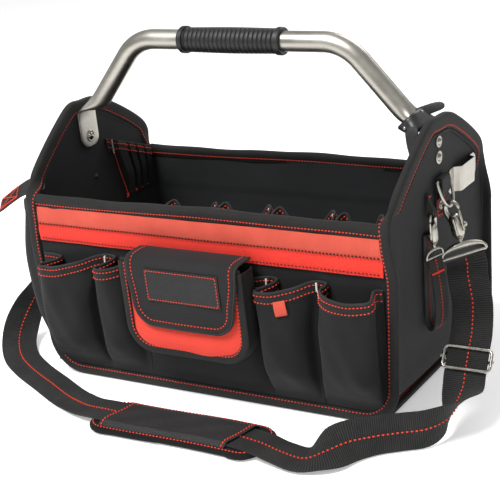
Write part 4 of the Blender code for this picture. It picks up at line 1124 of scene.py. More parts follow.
def build_pouch():
    path = u_path(POUCH_MID, POUCH_HALF - 0.0012, POUCH_LOW + 0.0012, POUCH_TOP, POUCH_BEND)
    inward = unit(np.cross(tangents(path), np.array((0, 1.0, 0))))
    if inward[0][0] < 0:
        inward = -inward
    depth = np.linspace(0, 1, 9)
    belly = 0.0022 * np.sin(np.pi * depth)
    outer = np.array([path + np.array((0, POUCH_BACK + d * (POUCH_FACE - POUCH_BACK), 0)) - b * inward for d,
        b in zip(depth, belly)])
    shell("pouch_gusset", outer, outer + 0.0016 * inward[None], "pocket", replaces=["flap_pouch"])
    z = np.linspace(POUCH_LOW + 0.0024, POUCH_TOP, 34)
    drop = np.clip(POUCH_LOW + POUCH_BEND - z, 0, POUCH_BEND - 0.0012)
    half = POUCH_HALF - POUCH_BEND + np.sqrt(POUCH_BEND**2 - drop**2) - 0.0026
    t = np.linspace(-1, 1, 44)
    x, zz = t * half[:, None], spread(z, len(t))
    pillow = (1 - np.abs(t) ** 3) * (0.0042 * np.exp(-(((zz - 0.092) / 0.018) ** 2)) + 0.0006)
    x = x + POUCH_MID
    face = np.stack([x, POUCH_FACE + 0.0006 - pillow + wave(x, zz, (0.0004, 11.0, 5.0, 0.2)), zz], axis=2)
    cloth("pouch_front", face, 0.0016, "red_face")
    back = np.stack([x, POUCH_BACK - 0.0002 + 0 * x, zz], axis=2)
    cloth("pouch_back", back, 0.0012, "pocket")
    rim = path + 0.0046 * inward + np.array((0, POUCH_FACE - 0.0012, 0))
    sweep("pouch_binding", rim, inward, oval(0.0058, 0.0015, 14, 0.6), "binding")
    line = path + 0.0086 * inward + np.array((0, POUCH_FACE - 0.0026, 0))
    red.row(line, (0, -1, 0), 0.0048, 0.0030, 0.0008, 0.0005)
    top = np.stack([POUCH_MID + np.linspace(-POUCH_HALF + 0.003, POUCH_HALF - 0.003, 30),
        np.full(30, POUCH_FACE + 0.0004), np.full(30, POUCH_TOP)], axis=1)
    sweep("pouch_mouth_binding", top, (0, 0, 1), oval(0.0045, 0.0014, 12, 0.7), "binding")
    for name, node, low, high, y, thick, look, body in (
        ("pouch_loop_patch", "pouch_loop_tape", 0.120, 0.148, -0.1850, 0.0012, "loops", "bag"),
        ("flap_hook_patch", "flap_hook_tape", 0.124, 0.144, -0.1872, 0.0012, "hooks", "flap"),
    ):
        a, b = np.meshgrid(np.linspace(-0.030, 0.030, 24), np.linspace(low, high, 12))
        edge = np.minimum(np.minimum(a + 0.030, 0.030 - a), np.minimum(b - low, high - b))
        lift = 0.0004 * (1 - smooth(edge / 0.0016))
        front = np.stack([a, y + lift, b], axis=2)
        rear = np.stack([a, y + thick - lift * 0.5, b], axis=2)
        shell(name, front, rear, look, body=body, replaces=[node])


def build_flap():
    flap_red = Stitches()
    profile = np.array([(-0.1470, 0.2040), (-0.1560, 0.2052), (-0.1720, 0.2055), (-0.1820, 0.2038),
        (-0.1872, 0.1985), (-0.1890, 0.1900),
                        (-0.1893, 0.1700), (-0.1893, 0.1500), (-0.1893, 0.1350), (-0.1894, 0.1240),
                        (-0.1896, FLAP_LOW)])
    run = curve(profile, 6)
    y, z = run[:, 0], run[:, 1]
    drop = np.clip(FLAP_LOW + FLAP_BEND - z, 0, FLAP_BEND - 0.0004)
    half = FLAP_HALF + 0.0035 * smooth((z - 0.135) / 0.06) - FLAP_BEND + np.sqrt(FLAP_BEND**2 - drop**2)
    t = np.linspace(-1, 1, 46)
    x = t * half[:, None] - (0.0060 * np.clip(t, 0, 1) ** 2)[None] * smooth((0.185 - z) / 0.05)[:, None]
    zz, yy = spread(z, len(t)), spread(y, len(t))
    sag = 0.0010 * (t**2)[None] * smooth((0.195 - zz) / 0.05) + wave(x, zz,
        (0.0004, 8.0, 5.0, 0.8)) * smooth((0.195 - zz) / 0.05)
    outer = np.stack([x, yy + sag, zz], axis=2)
    edge = np.gradient(np.stack([y, z], axis=1), axis=0)
    normal = unit(np.stack([0 * y, -edge[:, 1], edge[:, 0]], axis=1))
    normal *= np.sign(normal[len(normal) // 2][1]) * -1
    inner = outer - 0.0022 * normal[:, None]
    shell("flap_cover", outer, inner, "flap", body="flap", replaces=["pouch_flap"])
    along = np.vstack([outer[4:, 0], outer[-1, 1:-1], outer[4:, -1][::-1]])
    normals = np.vstack([normal[4:], np.repeat(normal[-1:], len(t) - 2, axis=0), normal[4:][::-1]])
    laid = even(np.hstack([along, normals]), 0.003)
    line, out = laid[:, :3], unit(laid[:, 3:])
    inward = unit(np.cross(tangents(line), out))
    if inward[3][0] < 0:
        inward = -inward
    sweep("flap_edge_piping", line - 0.0011 * out - 0.0002 * inward, inward, oval(0.0019, 0.0020, 12, 1.0),
        "hem", body="flap")
    sweep("flap_edge_binding", line + 0.0034 * inward - 0.0011 * out, inward, oval(0.0034, 0.0019, 12, 0.6),
        "binding", body="flap")
    flap_red.row(line + 0.0074 * inward + 0.0001 * out, out, 0.0048, 0.0030, 0.0008, 0.0006)
    wide, low, high, front = 0.0550, 0.1480, 0.1915, -0.1914
    a, b = np.meshgrid(np.linspace(-1, 1, 50), np.linspace(-1, 1, 26))
    bow = (1 - np.abs(a) ** 12) * (1 - np.abs(b) ** 8)
    shift = 0.0020
    face = np.stack([wide * a + shift, front + 0.0004 + 0.0007 * (1 - bow),
        (low + high) / 2 + (high - low) / 2 * b], axis=2)
    shell("flap_badge_blank", face, np.stack([face[:, :, 0], 0 * a - 0.1888, face[:, :, 2]], axis=2), "badge",
        body="flap", replaces=["flap_badge"])
    inset_x, inset_z = wide - 0.0026, (high - low) / 2 - 0.0026
    middle = (low + high) / 2
    box = [(-inset_x, middle - inset_z), (inset_x, middle - inset_z), (inset_x, middle + inset_z),
        (-inset_x, middle + inset_z)]
    for (x0, z0), (x1, z1) in zip(box, box[1:] + box[:1]):
        flap_red.row([(x0 + shift, front + 0.0006, z0), (x1 + shift, front + 0.0006, z1)], (0, -1, 0), 0.0040,
            0.0025, 0.0007, 0.0005)
    flap_red.lay("flap_stitching", body="flap")


build_front_pockets()
build_tag()
build_pouch()
build_flap()

# ---------------------------------------------------------------- pockets inside, at the ends and at the back


def on_inner_front(grid):
    x, depth, z = grid[:, :, 0], grid[:, :, 1], grid[:, :, 2]
    return np.stack([x, front_y(z) + 0.0056 + depth, z], axis=2)


def on_left_inside(grid):
    y, depth, z = grid[:, :, 0], grid[:, :, 1], grid[:, :, 2]
    return np.stack([-end_x(z) + 0.0056 + depth, y, z], axis=2)


def on_left_outside(grid):
    y, depth, z = grid[:, :, 0], grid[:, :, 1], grid[:, :, 2]
    return np.stack([-end_x(z) - 0.0008 - depth, y, z], axis=2)


def on_back(grid):
    x, depth, z = grid[:, :, 0], grid[:, :, 1], grid[:, :, 2]
    return np.stack([x, -front_y(z) + 0.0006 + depth, z], axis=2)


def boxed_levels(mouth, steps_up):
    """Levels of a pocket that stands off its panel; steps_up holds (z, share of the mouth's depth)."""
    mouth = np.array(mouth, float)
    levels = []
    for z, share in steps_up:
        levels.append(np.stack([mouth[:, 0], np.maximum(share * mouth[:, 1], 0.0010), np.full(len(mouth), z)],
            axis=1))
    return levels + [mouth]


def build_inner_pockets():
    seams = (-0.070, 0.010, 0.090, 0.180, 0.246)
    for i, (a, b) in enumerate(zip(seams, seams[1:])):
        span = b - a
        peak = 0.2500 if i else 0.2475
        mouth = [
            (a + 0.0012, 0.0010, 0.2340), (a + 0.0016, 0.0180, 0.2420), (a + 0.0035, 0.0350, peak - 0.001),
            (a + 0.0110, 0.0400, peak - 0.0015),
            (a + 0.35 * span, 0.0350, 0.2250), (a + 0.5 * span, 0.0340, 0.2215),
            (b - 0.35 * span, 0.0350, 0.2250),
            (b - 0.0110, 0.0400, peak), (b - 0.0035, 0.0350, peak), (b - 0.0016, 0.0180, 0.2420),
            (b - 0.0012, 0.0010, 0.2340),
        ]
        levels = boxed_levels(mouth,
            ((0.0405, 0.03), (0.0440, 0.36), (0.0600, 0.55), (0.1000, 0.80), (0.1600, 0.97), (0.2000, 1.03)))
        grid = pocket_grid(levels, on_inner_front, 5, 5)
        cloth(f"inner_pocket_sheet_{i + 1}", grid, 0.0014, "pocket", flip=-1,
            replaces=[f"inner_pocket_{i + 1}"])
        hem(f"inner_pocket_sheet_{i + 1}", grid, flip=-1)
        for x, lean in ((b - 0.0085, 0.05),) if i < 3 else ():
            y = front_y(peak) + 0.0056 + 0.0402
            white.tack((x, y - 0.0026, peak - 0.0065), (lean, 0.0, 1), (0, -1, 0.1), 0.0100, 0.0028)
            white.tack((x, y + 0.0012, peak - 0.0065), (lean, 0.0, 1), (0, 1, 0.1), 0.0100, 0.0028)


def build_tool_loops():
    """Strip sewn down five times inside the left end, which leaves four loops for tools."""
    low, foot_y = 0.1880, 0.124
    t = np.linspace(0, 1, 19)
    bands = (("flap", 0.0340, 0.0436, 0.2550, 0.0), ("1", 0.0436, 0.0690, low, 1.0),
        ("2", 0.0700, 0.0870, low, 0.9),
             ("3", 0.0880, 0.1050, low, 0.9), ("4", 0.1060, 0.1235, low, 0.9))
    for name, first, last, bottom, bulge in bands:
        rows = []
        for share in np.linspace(0, 1, 24):
            y = first + (last - first) * t
            height = bottom + share * (0.2812 - 0.41 * (y - 0.034) - bottom)
            squeeze = 1 - smooth((height - low) / 0.085)
            y = y + squeeze * (foot_y - y) * 0.20
            front = np.clip(np.minimum(t, 1 - t) / 0.16, 0, 1)
            deep = 0.0012 + 0.0100 * bulge * smooth(front) * (0.25 + 0.75 * smooth((height - low) / 0.040))
            rows.append(np.stack([y, deep, height], axis=1))
        grid = on_left_inside(np.array(rows))
        cloth(f"tool_loop_{name}", grid, 0.0012, "pocket", replaces=["tool_loops"] if name == "1" else [])
        hem(f"tool_loop_{name}", grid, depth=0.0160, lip=0.0011, thick=0.0012, stitched=(0.0038, 0.0122),
            both=False, pitch=0.0044)
    edge = np.array([(0.0435, 0.268), (0.0490, 0.235), (0.0555, 0.206), (0.0580, 0.190)])
    edge = curve(edge, 4)
    x = -end_x(edge[:, 1]) + 0.0084
    red.row(np.stack([x, edge[:, 0], edge[:, 1]], axis=1), (1, -0.2, 0), 0.0040, 0.0029, 0.0008, 0.0006)
    foot = np.stack([np.full(8, -end_x(low) + 0.0072), np.linspace(0.058, 0.123, 8), np.full(8, low + 0.0015)],
        axis=1)
    red.row(foot, (1, 0, 0), 0.0036, 0.0030, 0.0009, 0.0007)
    for y, z, size in ((0.0582, 0.1890, 0.0085), (0.0790, 0.1905, 0.0060), (0.1010, 0.1905, 0.0060)):
        spot = np.array((-end_x(z) + 0.0078, y, z))
        for lean in ((0, 0.7, 0.7), (0, 0.7, -0.7)):
            lean = np.array(lean) * size / 2
            red.row([spot - lean, spot + lean], (1, 0, 0), 1.0, size, 0.0009, 0.0006)
    white.tack((-end_x(0.268) + 0.0104, 0.0428, 0.2680), (0, -0.03, 1), (1, -0.2, 0), 0.0190, 0.0026)


def build_left_pocket():
    mouth = [
        (-0.1350, 0.0010, 0.2450), (-0.1345, 0.0090, 0.2445), (-0.1290, 0.0180, 0.2435),
        (-0.1080, 0.0240, 0.2420), (-0.0850, 0.0255, 0.2410),
        (-0.0620, 0.0240, 0.2415), (-0.0430, 0.0180, 0.2430), (-0.0350, 0.0090, 0.2440),
        (-0.0345, 0.0010, 0.2445),
    ]
    rise = ((0.0290, 0.03), (0.0315, 0.70), (0.0420, 1.20), (0.0700, 1.80), (0.1050, 2.10), (0.1400, 2.15),
        (0.1700, 2.00), (0.2000, 1.65), (0.2250, 1.25))
    grid = pocket_grid(boxed_levels(mouth, rise), on_left_outside, 6, 6)
    grid[:, :, 0] += 0.4 * wave(grid[:, :, 1], grid[:, :, 2], (0.0022, 13.0, 4.0, 0.5),
        (0.0012, -21.0, 11.0, 1.4)) * smooth((-0.262 - grid[:, :, 0]) / 0.02)
    cloth("left_pocket_sheet", grid, 0.0015, "pocket", flip=-1, replaces=["left_end_pocket"])
    hem("left_pocket_sheet", grid, flip=-1, stitched=())
    path = curve([(-0.2690, -0.113, 0.2600), (-0.2800, -0.1135, 0.2600), (-0.2960, -0.114, 0.2545),
        (-0.3150, -0.1155, 0.2440), (-0.3420, -0.118, 0.2265)], 6)
    across = np.array((-0.30, -0.62, -0.72))
    fold = np.array([(0.0125 * x, 0.0014 * y) for x, y in oval(1, 1, 16, 0.6)])
    curl = np.linspace(0, 1, len(path))
    sections = np.repeat(fold[None], len(path), axis=0)
    sections[:, :, 1] -= (0.0028 * np.sin(np.pi * curl))[:, None] * (1 - (fold[:, 0] / 0.0125) ** 2)[None]
    tab = even(np.column_stack([path, sections.reshape(len(path), -1)]), 0.0022)
    sweep("left_pull_webbing", tab[:, :3], across, tab[:, 3:].reshape(len(tab), -1, 2), "webbing",
        replaces=["left_pull_tab"])
    ahead = tangents(tab[:, :3])
    flat = square_to(across, ahead)
    up = np.cross(ahead, flat)
    run = steps(tab[:, :3])
    first, last, wide = run[-1] - 0.040, run[-1] - 0.0035, 0.0098

    def spot(along, side, face):
        place = [np.interp(along, run, tab[:, axis]) for axis in range(3)]
        level = [np.interp(along, run, up[:, axis]) for axis in range(3)]
        beside = [np.interp(along, run, flat[:, axis]) for axis in range(3)]
        return np.array(place) + side * wide * np.array(beside) + face * 0.0016 * np.array(level), face * np.array(level)

    for face in (1, -1):
        for (a, b), (c, d) in (((0, -1), (1, -1)), ((1, -1), (1, 1)), ((1, 1), (0, 1)), ((0, 1), (0, -1)),
                ((0, -1), (1, 1)), ((0, 1), (1, -1))):
            line, level = zip(*[spot(first + (a + (c - a) * s) * (last - first), b + (d - b) * s,
                face) for s in np.linspace(0, 1, 9)])
            red.row(np.array(line), np.array(level), 0.0036, 0.0030, 0.0008, 0.0005)


def build_back_pocket():
    mouth = [
        (-0.2520, 0.0010, 0.1620), (-0.2520, 0.0150, 0.1600), (-0.2485, 0.0290, 0.1580),
        (-0.2250, 0.0335, 0.1560), (-0.1200, 0.0350, 0.1540),
        (0.0, 0.0340, 0.1545), (0.1200, 0.0350, 0.1540), (0.2250, 0.0335, 0.1560), (0.2485, 0.0290, 0.1580),
        (0.2520, 0.0150, 0.1600), (0.2520, 0.0010, 0.1620),
    ]
    rise = ((0.0175, 0.03), (0.0200, 0.60), (0.0300, 0.95), (0.0500, 1.30), (0.0800, 1.42), (0.1100, 1.28),
        (0.1350, 1.10))
    grid = pocket_grid(boxed_levels(mouth, rise), on_back, 8, 6)
    grid[:, :, 1] += 0.5 * wave(grid[:, :, 0], grid[:, :, 2], (0.0024, 7.0, 5.0, 0.9),
        (0.0016, -12.0, 9.0, 2.1)) * smooth((grid[:, :, 1] - 0.155) / 0.02)
    cloth("back_pocket_sheet", grid, 0.0015, "pocket", flip=-1, replaces=["back_pocket"])
    hem("back_pocket_sheet", grid, flip=-1)
    for name, column, side in (("left", 16, -1), ("right", grid.shape[1] - 17, 1)):
        corner = even(grid[4:-12, column], 0.003)
        out = unit(np.array((side * 1.0, 1.0, 0.0)))
        across = unit(np.array((side * 1.0, -1.0, 0)))
        sweep(f"back_pocket_{name}_binding", corner + 0.0010 * out, across, oval(0.0048, 0.0016, 12, 0.7),
            "binding")
        red.row(corner + 0.0026 * out + side * 0.0016 * across, out + 0.3 * across, 0.0048, 0.0030, 0.0008,
            0.0005)


build_inner_pockets()
build_tool_loops()
build_left_pocket()
build_back_pocket()

# ---------------------------------------------------------------- handle


TUBE_RADIUS, CREASE_Z, LEG_ANGLE = 0.0132, 0.3352, math.radians(49)
LEG_UP = np.array((-math.cos(LEG_ANGLE), 0, math.sin(LEG_ANGLE)))
LEG_OUT = np.array((math.sin(LEG_ANGLE), 0, math.cos(LEG_ANGLE)))


def leg_point(back, out):
    """Point on the right leg: back up it from the crease, and out from its outer wall."""
    return np.array((FOOT_X, 0, CREASE_Z)) + back * LEG_UP + out * LEG_OUT


def handle_run():
    """(x, z, half width along Y, half thickness) from the left foot's end to the right one's."""
    bend, r = 0.065, TUBE_RADIUS
    reach = bend * math.tan(LEG_ANGLE / 2)
    corner_x = FOOT_X - r * LEG_OUT[0] - (HANDLE_TOP - CREASE_Z + r * LEG_OUT[2]) / math.tan(LEG_ANGLE)
    run = [(x, HANDLE_TOP, r, r) for x in np.linspace(0, corner_x - reach, 8)]
    for a in np.linspace(0, LEG_ANGLE, 15)[1:]:
        run.append((corner_x - reach + bend * math.sin(a), HANDLE_TOP - bend * (1 - math.cos(a)), r, r))
    crushed = ((0.085, r, r), (0.065, r, r), (0.048, r, r), (0.040, r, r), (0.034, 0.0134, 0.0128),
        (0.0280, 0.0144, 0.0116), (0.0235, 0.0155, 0.0100))
    crushed += ((0.0190, 0.0166, 0.0080), (0.0150, 0.0178, 0.0060), (0.0110, 0.0188, 0.0040),
        (0.0080, 0.0193, 0.0027))
    for back, wide, thick in crushed:
        x, _, z = leg_point(back, -thick)
        run.append((x, z, wide, thick))
    ends = ((0.2608, 0.3368, 0.0195), (0.2628, 0.3325, 0.0195), (FOOT_X, 0.3200, 0.0195),
        (FOOT_X, 0.2960, 0.0195))
    ends += ((FOOT_X, 0.2905, 0.0188), (FOOT_X, 0.2855, 0.0158), (FOOT_X, 0.2832, 0.0128),
        (FOOT_X, 0.2826, 0.0112))
    run += [(x, z, wide, 0.0017) for x, z, wide in ends]
    return [(-x, z, wide, thick) for x, z, wide, thick in run[:0:-1]] + run


def build_handle():
    run = np.array(handle_run())
    path = np.stack([run[:, 0], 0 * run[:, 0], run[:, 1]], axis=1)
    a = 2 * np.pi * (np.arange(44) + 0.5) / 44
    sections = []
    for wide, thick in run[:, 2:]:
        flat = 1 - 0.55 * (1 - thick / wide)
        u = np.sign(np.cos(a)) * np.abs(np.cos(a)) ** flat * wide
        v = np.sign(np.sin(a)) * np.abs(np.sin(a)) ** flat * thick
        sections.append(np.stack([u, v], axis=1))
    sweep("handle_bar", path, (0, 1, 0), sections, "steel", body="handle", replaces=["handle_tube"], sharp=30)

    middle, half, bore, pitch = -0.0055, 0.077, TUBE_RADIUS + 0.0002, 0.0066
    along = np.linspace(-half, half, 351)
    from_groove = np.abs((along / pitch + 0.5) % 1 - 0.5) * pitch
    ribs = 0.0165 - 0.0013 * np.exp(-((from_groove / 0.0008) ** 2)) + 0.0004 * np.cos(np.pi * along / half)
    near = half - np.abs(along)
    ribs = np.where(near < 0.0075, 0.0179 - 0.0012 * (1 - smooth(near / 0.0016)), ribs)
    ribs = np.where((near >= 0.0075) & (near < 0.0095), 0.0157, ribs)
    profile = [(-half, bore), (-half, 0.0160)] + list(zip(along, ribs)) + [(half, 0.0160), (half, bore),
        (-half, bore)]
    turned("handle_grip_ribbed", profile, (middle, 0, HANDLE_TOP), (1, 0, 0), "rubber", 44, body="handle",
        replaces=["handle_grip"], sharp=60)

    shape = [(0.0035, 0.0288, 0.0084), (0.0060, 0.0290, 0.0096), (0.0120, 0.0268, 0.0128),
        (0.0180, 0.0240, 0.0150), (0.0235, 0.0226, 0.0164), (0.0250, 0.0222, 0.0162)]
    rows = curve(np.array(shape), 5)
    turn = 2 * np.pi * np.arange(49) / 48
    wobble = 1 + 0.020 * np.sin(3 * turn + 0.6) + 0.010 * np.sin(7 * turn)
    around = np.sign(np.cos(turn)) * np.abs(np.cos(turn)) ** 0.75 * wobble
    about = np.sign(np.sin(turn)) * np.abs(np.sin(turn)) ** 0.75 * wobble
    outer, inner = [], []
    for back, wide, thick in rows:
        centre = leg_point(back, 0.0034 - thick)
        ends_in = 0.0010 * (1 - float(smooth(min(back - 0.0035, 0.0250 - back) / 0.0025)))
        for layer, shrink in ((outer, ends_in), (inner, 0.0022 - 0.4 * ends_in)):
            layer.append(centre + ((wide - shrink) * around)[:, None] * np.array((0, 1.0,
                0)) + ((thick - shrink) * about)[:, None] * LEG_OUT)
    shell("cuff_wrap", np.array(outer), np.array(inner), "leather", body="handle", replaces=["handle_cuff"])
    flat = oval(1, 1, 14, 0.6)
    tongues = (
        ("cuff_tab", LEG_UP,
            [(0.2445, -0.0060, 0.3505), (0.2510, 0.0100, 0.3510), (0.2560, 0.0260, 0.3510),
                (0.2585, 0.0390, 0.3500), (0.2595, 0.0500, 0.3490)],
         [0.0060, 0.0068, 0.0062, 0.0048, 0.0022]),
        ("cuff_tail", (1.0, 0, 0.1),
            [(0.2520, -0.0276, 0.3420), (0.2535, -0.0310, 0.3330), (0.2550, -0.0335, 0.3210),
                (0.2570, -0.0340, 0.3090), (0.2590, -0.0330, 0.2990)],
         [0.0085, 0.0088, 0.0072, 0.0050, 0.0024]),
    )
    for name, across, points, widths in tongues:
        path = curve(points, 6)
        wide = np.interp(np.linspace(0, 1, len(path)), [0, 0.25, 0.70, 0.93, 1], widths)
        sections = [np.stack([w * flat[:, 0], 0.0013 * flat[:, 1]], axis=1) for w in wide]
        sweep(name, path, across, sections, "leather", body="handle")
    for i, (place,
            out) in enumerate((((0.2520, 0.0050, 0.3515), LEG_OUT),
                ((0.2440, -0.0300, 0.3405), (-0.2, -1.0, 0.1)))):
        turned(f"cuff_stud_{i + 1}", [(-0.0006, 0.0022), (0.0006, 0.0022), (0.0012, 0.0017), (0.0015, 0.0005)],
            place, out, "nickel", 20, body="handle")


# ---------------------------------------------------------------- rivets, rings, hooks, clip and slider

WASHER = [(0.0, 0.0081), (0.0005, 0.0084), (0.0010, 0.0080), (0.0012, 0.0072), (0.0007, 0.0056),
    (0.0010, 0.0050), (0.0020, 0.0047), (0.0029, 0.0036), (0.0034, 0.0020), (0.0036, 0.0004)]


def head(name, size, place, side, look="nickel", replaces=(), tall=1.0):
    """Domed rivet head on a dished washer, standing away from the bag's middle where side is its own sign."""
    profile = [(tall * a, size / 0.0084 * r) for a, r in WASHER]
    turned(name, profile, place, (side, 0, 0), look, 36, replaces=replaces)


def build_rivets():
    for name, side in (("left", -1), ("right", 1)):
        x = end_x(PIVOT_Z)
        head(f"{name}_handle_rivet_head", 0.0084, (side * (x + 0.0004), 0, PIVOT_Z), side,
            replaces=[f"{name}_handle_rivet"])
        head(f"{name}_handle_rivet_foot", 0.0084, (side * (FOOT_X - 0.0018), 0, PIVOT_Z), -side)
        z = 0.236
        head(f"{name}_ring_rivet_head", 0.0056, (side * (end_x(z) + 0.0024), 0, z), side,
            replaces=[f"{name}_ring_rivet"], tall=0.75)
        head(f"{name}_ring_rivet_foot", 0.0052, (side * (end_x(z) - WALL - 0.0002), 0, z), -side, "leather",
            tall=0.5)
    z = 0.317
    head("keeper_rivet_head", 0.0074, (end_x(z) + 0.0004, 0, z), 1, replaces=["keeper_rivet"])
    head("keeper_rivet_foot", 0.0066, (end_x(z) - WALL - 0.0002, 0, z), -1, tall=0.6)
    z = 0.255
    for name, y in (("front", 0.0345), ("back", 0.1005)):
        head(f"clip_rivet_{name}_head", 0.0052, (end_x(z) + 0.0017, y, z), 1, "steel",
            [f"tape_clip_rivet_{name}"], 0.6)
        head(f"clip_rivet_{name}_foot", 0.0050, (end_x(z) - WALL - 0.0002, y, z), -1, tall=0.5)


def build_clip():
    profile = curve([(0.026, 0), (0.036, 0), (0.0425, 0.0002), (0.0455, 0.0040), (0.0478, 0.0080),
        (0.0515, 0.0087), (0.0620, 0.0085), (0.0760, 0.0085),
                     (0.0850, 0.0087), (0.0880, 0.0078), (0.0900, 0.0035), (0.0930, 0.0002), (0.100, 0),
                     (0.110, 0)], 4)
    y, rise = profile[:, 0], profile[:, 1]
    inset = 0.0050 * (1 - smooth((np.minimum(y - 0.026, 0.110 - y)) / 0.006))
    t = np.linspace(-1, 1, 12)
    z = 0.255 + t[:, None] * (0.016 - inset)[None]
    x = end_x(z) + 0.0004 + rise[None]
    edge = 0.0003 * np.abs(t[:, None]) ** 8
    yy = np.repeat(y[None], len(t), axis=0)
    slope = np.gradient(rise, y)
    lean = (slope / np.sqrt(1 + slope**2))[None] * 0.0012
    straight = (1 / np.sqrt(1 + slope**2))[None] * 0.0012
    outer = np.stack([x + straight - edge, yy - lean, z], axis=2)
    inner = np.stack([x + edge, yy, z], axis=2)
    shell("clip_plate", outer, inner, "steel", replaces=["tape_clip"], sharp=50)


def build_rings():
    for name, side in (("left", -1), ("right", 1)):
        half, top, down = 0.0175, np.array((side * RING_X, 0, 0.270)), np.array((side * 0.0080, 0, -0.034))
        loop = [top + np.array((0, y, 0)) for y in np.linspace(-half, half, 9)]
        for a in np.linspace(0, np.pi, 30)[1:-1]:
            loop.append(top + np.array((0, half * np.cos(a) * (1 + 0.08 * np.sin(a)),
                0)) + down * np.sin(a) ** 0.8)
        loop = looped(loop, 0.0022)
        sweep(f"{name}_ring_wire", loop, np.cross(down, (0, 1.0, 0)), oval(0.0020, 0.0020, 16, 1.0), "nickel",
            closed=True, replaces=[f"{name}_d_ring"])
        path = [(end_x(z) + 0.0016, z) for z in (0.2205, 0.232, 0.245, 0.262)]
        for a in np.linspace(np.pi, 0, 7)[1:-1]:
            path.append((RING_X + 0.0041 * np.cos(a), 0.270 + 0.0041 * np.sin(a)))
        path += [(RING_X + 0.0040, 0.264), (RING_X + 0.0026, 0.254), (end_x(0.24) + 0.0036, 0.246)]
        rows = curve([(side * x, 0, z) for x, z in path], 5)
        sweep(f"{name}_ring_webbing", rows, (0, 1, 0), strap_section(0.025, 0.0017), "webbing",
            replaces=[f"{name}_ring_tab"])
        out = np.array((side, 0, 0.0))
        for y0, z0, y1, z1 in ((-0.0095, 0.2245, 0.0095, 0.2245), (-0.0100, 0.2245, -0.0100, 0.2510),
                (0.0100, 0.2245, 0.0100, 0.2510), (-0.0095, 0.2515, 0.0095, 0.2515)):
            line = np.array([(0, y0 + (y1 - y0) * s, z0 + (z1 - z0) * s) for s in np.linspace(0, 1, 9)])
            line[:, 0] = side * (end_x(line[:, 2]) + 0.0027 + 0.0016 * (line[:, 2] > 0.2475))
            red.row(line, out, 0.0040, 0.0030, 0.0009, 0.0006)


